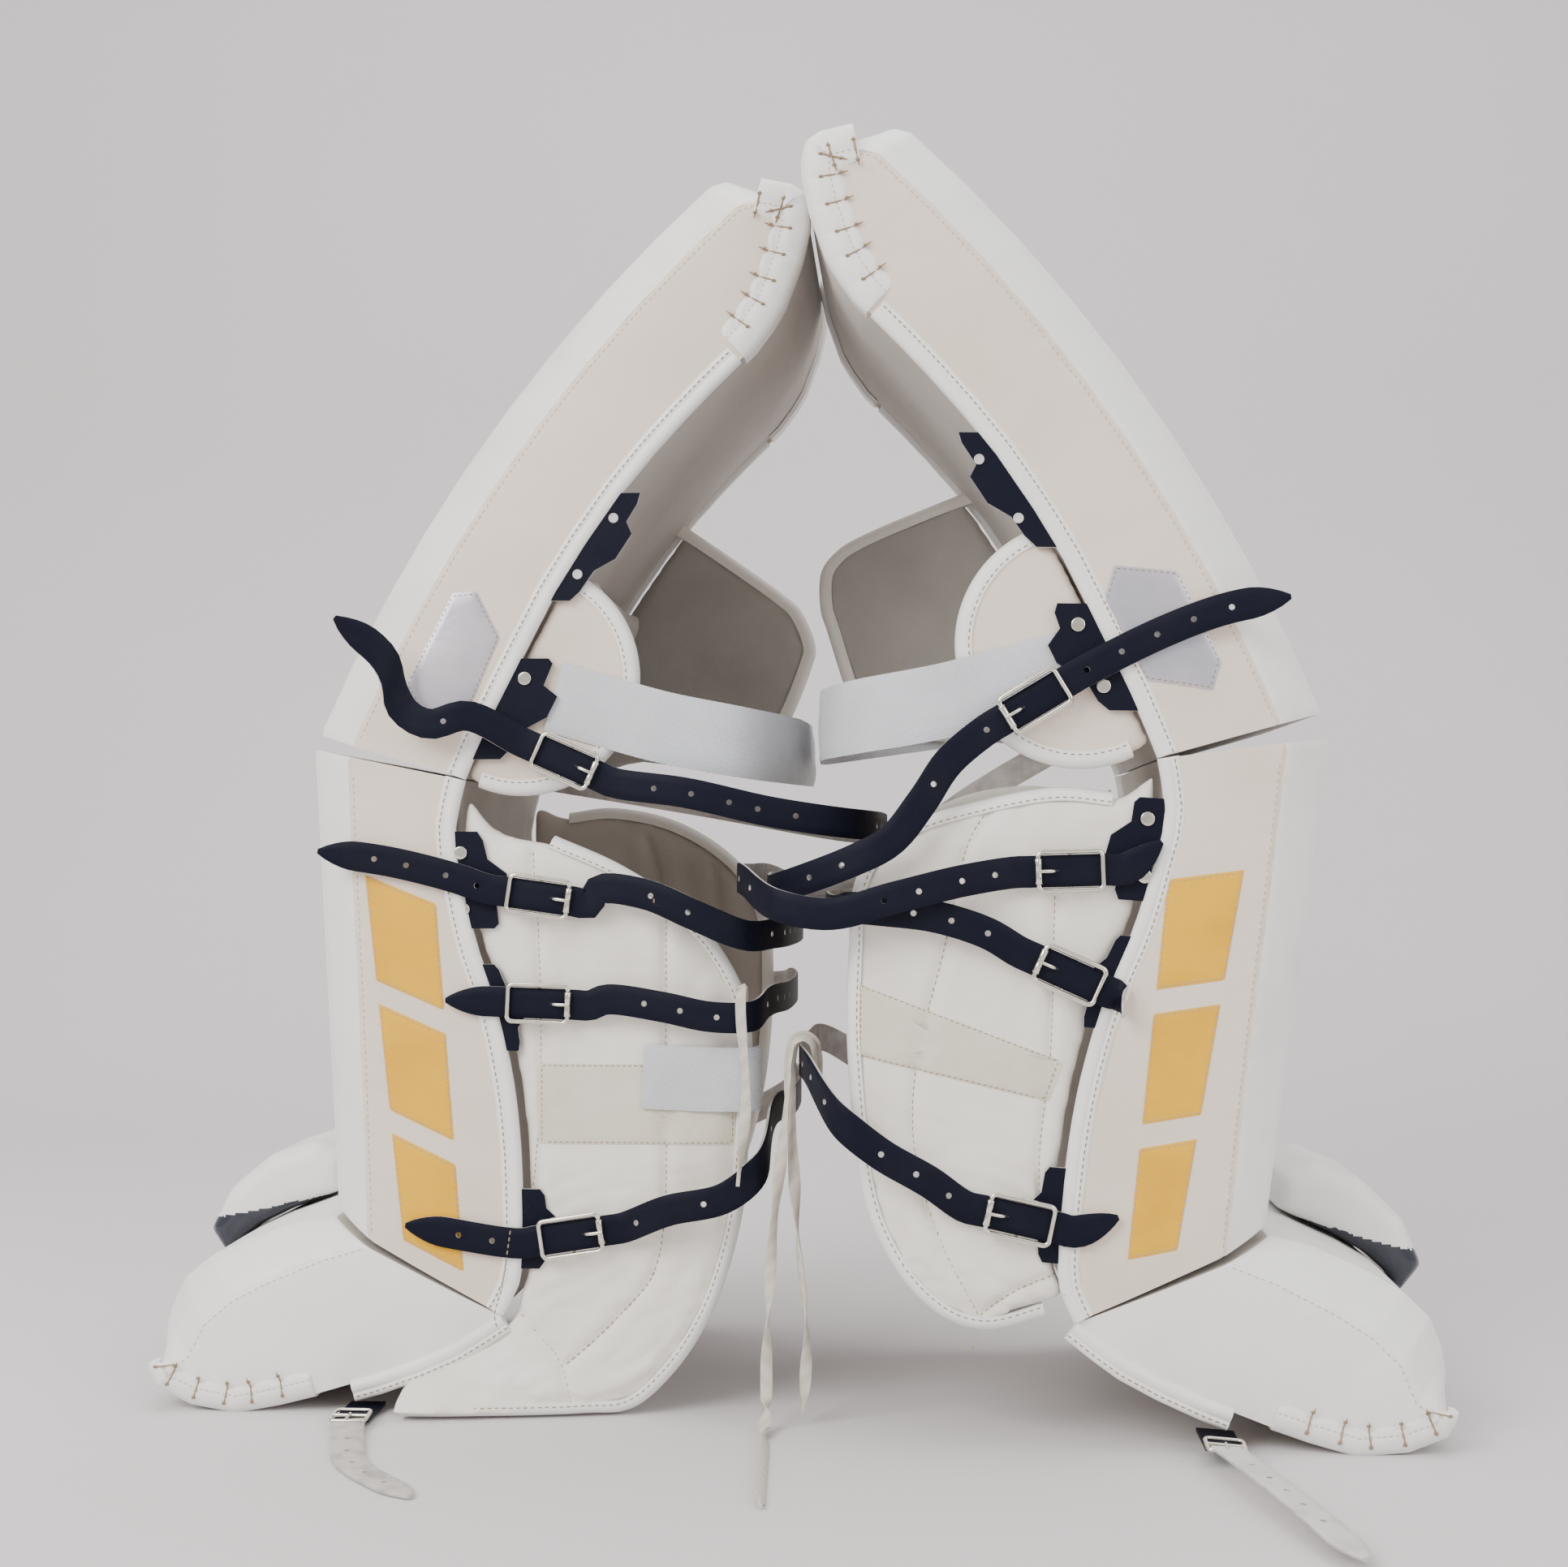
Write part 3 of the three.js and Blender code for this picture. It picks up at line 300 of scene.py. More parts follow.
def applyAll(piece):
    only(piece)
    for modifier in list(piece.modifiers):
        bpy.ops.object.modifier_apply(modifier=modifier.name)


def curveThrough(points, count):
    # A smooth centripetal line through points, evenly spaced.
    p = np.array(points, float)
    p = np.vstack([2 * p[0] - p[1], p, 2 * p[-1] - p[-2]])
    out = []
    for i in range(1, len(p) - 2):
        a, b, c, d = p[i - 1], p[i], p[i + 1], p[i + 2]
        t0 = 0.0
        t1 = t0 + max(1e-9, np.linalg.norm(b - a)) ** 0.5
        t2 = t1 + max(1e-9, np.linalg.norm(c - b)) ** 0.5
        t3 = t2 + max(1e-9, np.linalg.norm(d - c)) ** 0.5
        for t in np.linspace(t1, t2, 24, endpoint=False):
            a1 = (t1 - t) / (t1 - t0) * a + (t - t0) / (t1 - t0) * b
            a2 = (t2 - t) / (t2 - t1) * b + (t - t1) / (t2 - t1) * c
            a3 = (t3 - t) / (t3 - t2) * c + (t - t2) / (t3 - t2) * d
            b1 = (t2 - t) / (t2 - t0) * a1 + (t - t0) / (t2 - t0) * a2
            b2 = (t3 - t) / (t3 - t1) * a2 + (t - t1) / (t3 - t1) * a3
            out.append((t2 - t) / (t2 - t1) * b1 + (t - t1) / (t2 - t1) * b2)
    out.append(p[-2])
    return evenly(np.array(out), count)


def evenly(points, count):
    p = np.array(points, float)
    run = np.concatenate([[0], np.cumsum(np.linalg.norm(np.diff(p, axis=0), axis=1))])
    want = np.linspace(0, run[-1], count)
    return np.stack([np.interp(want, run, p[:, i]) for i in range(p.shape[1])], 1)


def lengthOf(points):
    return float(np.linalg.norm(np.diff(np.array(points, float), axis=0), axis=1).sum())


def unit(v):
    v = np.array(v, float)
    return v / np.maximum(1e-12, np.linalg.norm(v, axis=-1, keepdims=True))


def sweep(path, across, outward, sections):
    # Rings of a closed section along a path, closed at both ends. sections[i] is a list of (across, outward).
    count = len(sections[0])
    points, faces, bands = [], [], []
    for i, section in enumerate(sections):
        for u, v in section:
            points.append(path[i] + across[i] * u + outward[i] * v)
    for i in range(len(path) - 1):
        for k in range(count):
            n = (k + 1) % count
            faces.append((i * count + k, i * count + n, (i + 1) * count + n, (i + 1) * count + k))
            bands.append(k)
    faces.append(tuple(range(count)))
    faces.append(tuple(range((len(path) - 1) * count, len(path) * count)))
    bands += [-1, -1]
    return points, faces, bands


def joinPieces(name, parts):
    bpy.ops.object.select_all(action="DESELECT")
    for part in parts:
        part.select_set(True)
    bpy.context.view_layer.objects.active = parts[0]
    if len(parts) > 1:
        bpy.ops.object.join()
    parts[0].name = name
    return parts[0]


def stitchRow(name, path, pitch, size, material, outward, skip=0):
    # Short rounded stitches along a path. size is (length, width, height) in metres.
    total = lengthOf(path)
    count = max(2, int(total / pitch))
    spots = evenly(path, 3 * count + 1)
    ups = evenly(outward, 3 * count + 1)
    points, faces = [], []
    for i in range(count):
        middle = spots[3 * i + 1]
        along = unit(spots[3 * i + 2] - spots[3 * i])
        up = unit(ups[3 * i + 1])
        beside = np.cross(along, up)
        start = len(points)
        rings = [(-0.5, 0.35), (-0.32, 1), (0.32, 1), (0.5, 0.35)]
        for reach, wide in rings:
            for u, v in ((1, 0), (0, 1), (-1, 0), (0, -0.6)):
                points.append(middle + along * reach * size[0] + beside * u * wide * size[1] / 2
                              + up * v * wide * size[2])
        for ring in range(3):
            for k in range(4):
                a = start + ring * 4
                faces.append((a + k, a + (k + 1) % 4, a + 4 + (k + 1) % 4, a + 4 + k))
        faces.append((start, start + 3, start + 2, start + 1))
        faces.append((start + 12, start + 13, start + 14, start + 15))
    return newPiece(name, points, faces, [material], angle=60)


# The foam-filled bodies: thigh rise, shin and boot.
shinRearShares = [(0.8, 0.745), (0.68, 0.775), (0.56, 0.822), (0.42, 0.914), (0.3, 0.962), (0.203, 0.985),
                  (0.084, 0.992), (-0.065, 0.98), (-0.16, 0.95)]
thighTopShares = [(0.05, 0.1), (0.24, 0.2), (0.44, 0.34), (0.53, 0.36), (0.62, 0.31), (0.7, 0.235),
                  (0.82, 0.06)]
thighRearShares = [(0.948, 0.957), (0.878, 1.02), (0.796, 1.01), (0.69, 0.993), (0.55, 0.973), (0.38, 0.982),
                   (0.26, 1.01), (0.12, 1.02)]
bootFrontShares = [(0, 0), (0.194, -0.06), (0.45, -0.08), (0.624, -0.07), (0.773, -0.009), (0.879, 0.119),
                   (0.938, 0.223), (1, 0.409)]
bootSoleShares = [(0.995, 0.52), (0.88, 0.697), (0.7, 0.85), (0.5, 0.905), (0.325, 0.941), (0.036, 0.985),
                  (-0.161, 1), (-0.339, 0.998), (-0.472, 0.972)]
topPoints = [thighPoint(1, back, up) for back, up in thighTopShares]
shinCurve = [kneePivot] + [shinPoint(*q) for q in shinRearShares] + [(0, padSize["clearance"])]
thighCurve = [thighPoint(*q) for q in thighRearShares] + [kneePivot + (0, 2 * padSize["clearance"])]
outlines = {
    "thigh": {
        "front": [thighPoint(k / 9) for k in range(10)] + topPoints[:3],
        "rear": list(splinePoints(thighCurve, 14)[::-1]) + topPoints[:2:-1],
    },
    "shin": {"front": [ankleFront, shinTop], "rear": splinePoints(shinCurve, 22)[::-1]},
    "boot": {
        "front": [bootPoint(*q) for q in bootFrontShares],
        "rear": [(0, -padSize["clearance"])] + [bootPoint(*q) for q in bootSoleShares[::-1]],
    },
}
padBody = {
    "bevelDeep": 31.0,
    "bevelAcross": 30.0,
    "stations": {"thigh": 170, "shin": 120, "boot": 90},
    "crown": {"thigh": 2.6, "shin": 2.4, "boot": 2.0},
    "pucker": {"thigh": 0.55, "shin": 0.5, "boot": 0.25},
    "seam": 0.9,
}


def chains(part, count):
    outline = outlines[part]
    return evenly(outline["front"], count), evenly(outline["rear"], count)


def bodyPiece(side, part):
    values = padBody
    count = values["stations"][part]
    front, rear = chains(part, count)
    runs = np.linspace(0, lengthOf(outlines[part]["rear"]), count)
    thigh = part == "thigh"
    sideShares = np.concatenate([[0.0, 0.012, 0.03], np.linspace(0.06, 0.97, 30), [1.0]])
    bevelShares = [0.0, 0.05, 0.2, 0.4, 0.6, 0.8, 0.95]
    rearYs = np.concatenate([np.linspace(0, 18, 4)[1:], np.linspace(26, padWidth - 26, 24),
                             np.linspace(padWidth - 18, padWidth, 4)])
    frontYs = np.concatenate([[0.0, 0.015], np.linspace(0.05, 0.95, 16), [0.985]])
    points, slots, columns = [], [], None
    seed = {"left": 3.1, "right": 17.7}[side] + {"thigh": 0, "shin": 40, "boot": 80}[part]
    for i in range(count):
        f, r = front[i], rear[i]
        long = max(1e-3, np.linalg.norm(r - f))
        share = i / (count - 1)
        away = (r - f) / long
        bevel = min(values["bevelDeep"] / long, 0.42)
        rim = min(1.0, min(share, 1 - share) * lengthOf(outlines[part]["front"]) / 5)
        pull = 2.2 * (1 - math.sqrt(max(0.0, 1 - (1 - rim) ** 2)))
        topFade = min(1.0, (1 - share) * 12) if part != "shin" else 1.0
        ring, kinds = [], []

        def put(t, y, kind, lift=0.0):
            p = f + away * t * long
            middle = (f + r) / 2
            toMiddle = unit(middle - p) if np.linalg.norm(middle - p) > 1e-6 else np.zeros(2)
            p = p + toMiddle * pull * 0.6
            ring.append((p[0], y, p[1]))
            kinds.append(kind)

        def sideLift(v, salt):
            d = v * (1 - bevel) * long
            crown = values["crown"][part] * math.sin(math.pi * min(1, v * 1.02)) ** 0.6 * topFade
            fold = noise.noise(Vector((runs[i] / 7.5, salt, seed)))
            near = math.exp(-d / 10) + 0.8 * math.exp(-(1 - v) * (1 - bevel) * long / 9)
            gather = values["pucker"][part] * near * fold * 2
            wide = 0.9 * noise.noise(Vector((runs[i] / 34, d / 60, salt + seed)))
            cross = noise.noise(Vector((runs[i] / 16, d / 90, salt + seed + 9))) - 0.25
            wide += 0.9 * max(0.0, cross) * (part != "boot")
            return (crown + gather + wide * math.sin(math.pi * v)) * topFade

        for q in bevelShares:  # outer bevel, from its front edge to its seam
            swell = 1.3 * math.sin(math.pi * q)
            edge = -values["seam"] * 0.5 if q < 0.03 else 0.0
            put(bevel * q - 0.012 * (swell + edge), values["bevelAcross"] * (1 - q) - 0.7 * swell, 0)
        for v in sideShares:
            put(bevel + (1 - bevel) * v, values["seam"] * (v < 0.005) + 0.25 - sideLift(v, 0.3), 1)
        for y in rearYs:
            bulge = 2.5 * math.sin(math.pi * y / padWidth) * topFade
            put(1.0 + (bulge - 2.5) / max(30.0, long) * topFade, y, 2)
        for v in sideShares[::-1]:
            put(bevel + (1 - bevel) * v, padWidth - 0.25 - values["seam"] * (v < 0.005) + sideLift(v, 5.3), 1)
        for q in bevelShares[::-1]:
            swell = 1.3 * math.sin(math.pi * q)
            put(bevel * q - 0.012 * swell, padWidth - values["bevelAcross"] * (1 - q) + 0.7 * swell, 0)
        for q in frontYs[::-1]:
            y = values["bevelAcross"] + (padWidth - 2 * values["bevelAcross"]) * q
            groove = 0.0
            for across in (0.2, 0.8):
                groove += 1.2 * math.exp(-((q - across) / 0.012) ** 2)
            put(0.0 + (groove - 1.0 * math.sin(math.pi * q)) / max(30.0, long), y, 0)
        points += ring
        columns = kinds
    points = place(side, points, thigh)
    size = len(columns)
    faces = []
    for i in range(count - 1):
        for k in range(size):
            n = (k + 1) % size
            faces.append((i * size + k, i * size + n, (i + 1) * size + n, (i + 1) * size + k))
            slots.append(columns[n] if columns[k] != columns[n] and columns[n] != 0 else columns[k])
    points = list(points)
    for i, last in ((0, False), (count - 1, True)):
        ring = range(i * size, (i + 1) * size)
        points.append(np.mean([points[k] for k in ring], 0))
        for k in range(size):
            a, b = i * size + k, i * size + (k + 1) % size
            faces.append((a, b, len(points) - 1))
            slots.append(2 if not last else 0)
    cloth = {"thigh": creamNylon, "shin": creamNylon, "boot": whiteLeather}[part]
    # Slot 2, the rear face and the lower end face, gets the painted-shade cloth: darker nylon standing in for the shade
    # there.
    piece = newPiece(f"{side}_{part}_body", points, faces, [whiteLeather, cloth, paintedShadeCloth], slots, angle=35)
    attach(piece, "shins" if part == "shin" else f"{side}_{part}")
    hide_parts(f"{side}_{part}_cover", f"{side}_{part}_core")
    return piece


bodies = {(side, part): bodyPiece(side, part) for side in sides for part in ("thigh", "shin", "boot")}
print("pad bodies made")


def surfaceOf(*pieces):
    points, faces = [], []
    for piece in pieces:
        start = len(points)
        points += [v.co.copy() for v in piece.data.vertices]
        faces += [[start + k for k in p.vertices] for p in piece.data.polygons]
    return BVHTree.FromPolygons(points, faces)


def onSurface(tree, points, lift=0.0, inward=1):
    # Moves points in y until they meet the surface, then lifts them off it.
    out = []
    for p in points:
        hit = tree.ray_cast(Vector((p[0], p[1] - 0.2 * inward, p[2])), Vector((0, inward, 0)))
        y = hit[0].y if hit[0] is not None else p[1]
        out.append((p[0], y - lift * inward, p[2]))
    return np.array(out)


bodyOf = {"thigh": "{}_thigh", "shin": "shins", "boot": "{}_boot"}


def rider(piece, side, part):
    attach(piece, bodyOf[part].format(side))
    return piece


# Edge binding with its stitches, along the rear edges of both sides.
binding = {"inside": 11.5, "proud": 2.2, "pitch": 4.2, "stitch": (2.6 * mm, 0.8 * mm, 0.5 * mm)}


def bindingPiece(side, part, inner):
    rear = evenly(outlines[part]["rear"], {"thigh": 120, "shin": 100, "boot": 70}[part])
    if part == "thigh":
        rear = rear[: int(len(rear) * 0.74)]
    if part == "boot":
        rear = rear[: int(len(rear) * 0.46)]
    tangent = unit(np.gradient(rear, axis=0))
    back = np.stack([tangent[:, 1], -tangent[:, 0]], 1)
    way = -1 if inner else 1
    profile = [(-11.5, 1.2), (-11.2, -1.2), (-9.5, -2.4), (-6.8, -2.3), (-6, -1.9), (-5.2, -2.6), (-2, -3.1),
               (0.6, -1.9), (1.6, 0.4), (1.4, 3.6), (-0.5, 4.6), (-4, 4.4)]
    thigh = part == "thigh"
    yAt = (lambda v: padWidth - v) if inner else (lambda v: v)
    points, faces, _ = [], [], None
    for i, p in enumerate(rear):
        wobble = 0.25 * noise.noise(Vector((i / 3, 7.7 * way, len(side))))
        for a, y in profile:
            q = p + back[i] * a
            points.append((q[0], yAt(y - (wobble if y < 0 else 0)), q[1]))
    size = len(profile)
    for i in range(len(rear) - 1):
        for k in range(size):
            n = (k + 1) % size
            faces.append((i * size + k, i * size + n, (i + 1) * size + n, (i + 1) * size + k))
    faces += [tuple(range(size)), tuple(range((len(rear) - 1) * size, len(rear) * size))]
    name = "inner" if inner else "outer"
    tape = newPiece(f"{side}_{part}_{name}_binding", place(side, points, thigh), faces, [whiteLeather], angle=50)
    rider(tape, side, part)
    rows = []
    for row, a in enumerate((-8.2,)):
        line = [(*(p + back[i] * a), yAt(-2.5)) for i, p in enumerate(rear)]
        line = place(side, [(x, y, z) for x, z, y in line], thigh)
        up = np.tile([0, -way, 0], (len(line), 1)).astype(float)
        rows.append(stitchRow("row", line, binding["pitch"] * mm, binding["stitch"], thread, up))
    stitches = joinPieces(f"{side}_{part}_{name}_binding_stitches", rows)
    rider(stitches, side, part)


for side in sides:
    for part in ("thigh", "shin", "boot"):
        for inner in (False, True):
            bindingPiece(side, part, inner)
print("bindings made")


# Stitched seams between the bevels and the side panels.
def bevelSeam(side, part):
    count = padBody["stations"][part]
    front, rear = chains(part, count)
    tree = surfaceOf(bodies[(side, part)])
    rows = []
    for inward, y0 in ((1, -3.0), (-1, padWidth + 3.0)):
        line = []
        for f, r in zip(front[2:-4], rear[2:-4]):
            long = np.linalg.norm(r - f)
            p = f + (r - f) * (min(31.0 / long, 0.42) + 1.8 / long)
            line.append((p[0], y0, p[1]))
        line = onSurface(tree, place(side, line, part == "thigh"), 0.0001, inward)
        up = np.tile([0.0, -inward, 0.0], (len(line), 1))
        rows.append(stitchRow("row", line, 4.4 * mm, (2.4 * mm, 0.5 * mm, 0.3 * mm), paleThread, up))
    rider(joinPieces(f"{side}_{part}_seam_stitches", rows), side, part)


for side in sides:
    for part in ("thigh", "shin", "boot"):
        bevelSeam(side, part)


# Laced caps: over the top of the thigh rise, and under the toe.
capShape = {
    "thigh": {"from": (0.735, "rear"), "wide": 21.0, "scallops": 8},
    "boot": {"from": (0.55, "rear"), "wide": 15.0, "scallops": 6},
}


def capPiece(side, part, inner):
    values = capShape[part]
    outline = outlines[part]
    rear = evenly(outline["rear"], 200)
    rear = rear[int(200 * values["from"][0]):]
    over = evenly(outline["front"], 200)[::-1]
    over = over[:9] if part == "thigh" else over[:5]
    path = evenly(np.vstack([rear, over]), 96)
    tangent = unit(np.gradient(path, axis=0))
    for _ in range(6):
        tangent[1:-1] = unit(tangent[:-2] + 2 * tangent[1:-1] + tangent[2:])
    inwards = np.stack([-tangent[:, 1], tangent[:, 0]], 1)
    middle = (np.array(outline["rear"]).mean(0) + np.array(outline["front"]).mean(0)) / 2
    if np.mean(np.sum((middle - path) * inwards, 1)) < 0:
        inwards = -inwards
    thigh = part == "thigh"
    yAt = (lambda v: padWidth - v) if inner else (lambda v: v)
    points = []
    count = values["scallops"]
    size = None
    for i, p in enumerate(path):
        share = i / (len(path) - 1)
        phase = (share * count) % 1
        bulge = math.sin(math.pi * phase) ** 0.45
        wide = values["wide"] * (0.9 + 0.12 * bulge) + (2.0 if thigh else 0)
        swell = 1.0 + 1.5 * bulge
        profile = [(wide, 0.8), (wide - 0.3, -1.4 - 0.6 * bulge), (wide - 2.2, -2.6 - 0.5 * bulge),
                   (wide - 5.5, -2.8 - 0.7 * bulge), (wide - 6.5, -2.7 - 0.4 * bulge),
                   (wide * 0.55, -2.6 - swell), (wide * 0.28, -2.4 - swell), (2, -2.8), (-0.8, -1.2), (-1.9, 2.5),
                   (-2, 9), (-1.4, 15), (1.5, 15.5), (2.5, 5)]
        for a, y in profile:
            q = p + inwards[i] * a
            points.append((q[0], yAt(y), q[1]))
        size = len(profile)
    faces = []
    for i in range(len(path) - 1):
        for k in range(size):
            n = (k + 1) % size
            faces.append((i * size + k, i * size + n, (i + 1) * size + n, (i + 1) * size + k))
    faces += [tuple(range(size)), tuple(range((len(path) - 1) * size, len(path) * size))]
    name = "inner" if inner else "outer"
    cap = newPiece(f"{side}_{part}_{name}_cap", place(side, points, thigh), faces, [whiteLeather], angle=50)
    rider(cap, side, part)
    tree = surfaceOf(cap)
    way = -1 if inner else 1
    rows = []
    for k in range(1, count + 1):
        i = min(len(path) - 2, int(k / count * (len(path) - 1)))
        a = path[i] + inwards[i] * (values["wide"] * 0.9 + 3.5)
        b = path[i] + inwards[i] * (values["wide"] * 0.9 - 9)
        line = place(side, [(a[0] + (b[0] - a[0]) * t, yAt(-4), a[1] + (b[1] - a[1]) * t)
                            for t in np.linspace(0, 1, 9)], thigh)
        line = onSurface(tree, line, 0.0004, way)
        if np.ptp(line[:, 1]) > 0.006:
            continue
        up = np.tile([0.0, -way, 0.0], (len(line), 1))
        rows.append(stitchRow("row", line, 0.0135, (0.0125, 0.0011, 0.0009), thread, up))
        for end in (line[0], line[-1]):
            knot = [end + np.array([-0.0008, 0, 0]), end + np.array([0.0008, 0, 0])]
            rows.append(stitchRow("row", knot, 0.0009, (0.0019, 0.0019, 0.0012), thread, up[:2]))
    seam = path + inwards * (values["wide"] * 0.9 - 3.6)
    line = place(side, [(x, yAt(-4), z) for x, z in seam], thigh)
    line = onSurface(tree, line, 0.0001, way)
    line = line[np.abs(line[:, 1] - np.median(line[:, 1])) < 0.006]
    up = np.tile([0.0, -way, 0.0], (len(line), 1))
    rows.append(stitchRow("row", line, 3.6 * mm, (2.0 * mm, 0.45 * mm, 0.3 * mm), paleThread, up))
    rider(joinPieces(f"{side}_{part}_{name}_cap_lacing", rows), side, part)


for side in sides:
    for part in ("thigh", "boot"):
        for inner in (False, True):
            capPiece(side, part, inner)
print("caps made")
# Padded wings, knee discs and cradles: swollen cloth forms.
wings = {
    "outer_calf_wing": {"voxel": 0.0042, "cap": 0.0035, "cloth": quiltNylon, "slot": "quilted_nylon"},
    # The inner calf wing and the knee cradle take the painted-shade cloth: darker nylon for forms lying in shadow.
    "inner_calf_wing": {"voxel": 0.0045, "cap": 0.0035, "cloth": paintedShadeCloth, "slot": "quilted_nylon"},
    "outer_knee_wing": {"voxel": 0.0035, "cap": 0.0008, "cloth": creamNylon, "slot": "cream_nylon"},
    # The inner knee wing takes painted shade: quilted nylon darkened for the shadow it lies in.
    "inner_knee_wing": {"voxel": 0.0038, "cap": 0.0025, "cloth": paintedShadeGrey, "slot": "grey_liner"},
    "knee_cradle": {"voxel": 0.0045, "cap": 0.004, "cloth": paintedShadeCloth, "slot": "quilted_nylon"},
    "boot_guard": {"voxel": 0.003, "cap": 0.002, "cloth": whiteLeather, "slot": "navy_guard"},
}
def onShin(x, z):
    return np.array([x * padSize["shinDepth"], z * padSize["shinLength"]])


def onKnee(x, z):
    return kneePivot + padSize["thighLength"] * np.array([x, z])


wingSeams = {
    "left": [[(103, 262), (103, 157), (102, 56), (95, 25), (80, 6), (60, -14), (41, -30)],
             [(18, 290), (22, 238), (24, 157), (20, 90), (12, 30), (8, 8), (38, -28), (47, -62)]],
    "right": [[(72, 300), (83, 279), (93, 215), (105, 141), (102, 92), (85, 45), (57, -2)],
              [(66, -10), (39, 14), (10.8, 28)],
              [(30, 250), (26, 157), (28, 90), (22, 40)]],
}
innerSeams = [[(60, 300), (72, 250), (80, 160), (74, 60), (50, 0)],
              [(110, 280), (118, 200), (114, 110), (96, 30)]]


def softCopy(side, node):
    values = wings[node]
    piece = bpy.data.objects.new(f"{side}_{node}_pad", nodes[f"{side}_{node}"].data.copy())
    bpy.context.scene.collection.objects.link(piece)
    piece.data.materials.clear()
    form = bmesh.new()
    form.from_mesh(piece.data)
    bmesh.ops.remove_doubles(form, verts=form.verts, dist=1e-5)
    form.to_mesh(piece.data)
    form.free()
    remesh = piece.modifiers.new("remesh", "REMESH")
    remesh.mode = "VOXEL"
    remesh.voxel_size = values["voxel"]
    relax = piece.modifiers.new("relax", "SMOOTH")
    relax.factor = 0.5
    relax.iterations = 4
    applyAll(piece)
    return piece


def meshPoints(piece):
    co = np.zeros(len(piece.data.vertices) * 3)
    piece.data.vertices.foreach_get("co", co)
    return co.reshape(-1, 3)


def setPoints(piece, co):
    piece.data.vertices.foreach_set("co", np.asarray(co, np.float32).ravel())
    piece.data.update()


def normalsOf(piece):
    n = np.zeros(len(piece.data.vertices) * 3)
    piece.data.vertex_normals.foreach_get("vector", n)
    return n.reshape(-1, 3)


softPieces = {(side, node): softCopy(side, node) for side in sides for node in wings}
print("padded forms cut out")


def swell(pieces):
    # Air pressure rounds the cloth forms. A point moves no further than its form's cap.
    before = {}
    for key, piece in pieces.items():
        setPoints(piece, meshPoints(piece) - normalsOf(piece) * 0.0006)
        before[key] = meshPoints(piece)
        cloth = piece.modifiers.new("swell", "CLOTH")
        cloth.settings.quality = 4
        cloth.settings.mass = 0.3
        cloth.settings.tension_stiffness = 12
        cloth.settings.compression_stiffness = 12
        cloth.settings.bending_stiffness = 2
        cloth.settings.use_pressure = True
        cloth.settings.uniform_pressure_force = 4
        cloth.settings.effector_weights.gravity = 0
        cloth.point_cache.frame_start = 1
        cloth.point_cache.frame_end = 20
    for step in range(1, 21):
        bpy.context.scene.frame_set(step)
    moved = {}
    for key, piece in pieces.items():
        shown = piece.evaluated_get(bpy.context.evaluated_depsgraph_get())
        co = np.zeros(len(shown.data.vertices) * 3)
        shown.data.vertices.foreach_get("co", co)
        moved[key] = co.reshape(-1, 3)
    bpy.context.scene.frame_set(1)
    for key, piece in pieces.items():
        piece.modifiers.clear()
        shift = moved[key] - before[key]
        shift = shift - shift.mean(0)
        far = np.linalg.norm(shift, axis=1, keepdims=True)
        cap = wings[key[1]]["cap"]
        setPoints(piece, before[key] + shift * np.minimum(1, cap / np.maximum(far, 1e-9)))


swell({key: piece for key, piece in softPieces.items() if key[1] != "boot_guard"})
print("padded forms swollen")


def distanceTo(xz, lines):
    best = np.full(len(xz), 1e9)
    for line in lines:
        fine = evenly(np.array(line, float), 60) if len(line) == 2 else curveThrough(line, 60)
        for a, b in zip(fine[:-1], fine[1:]):
            d = b - a
            t = np.clip(((xz - a) @ d) / max(1e-9, d @ d), 0, 1)
            best = np.minimum(best, np.linalg.norm(xz - a - t[:, None] * d, axis=1))
    return best


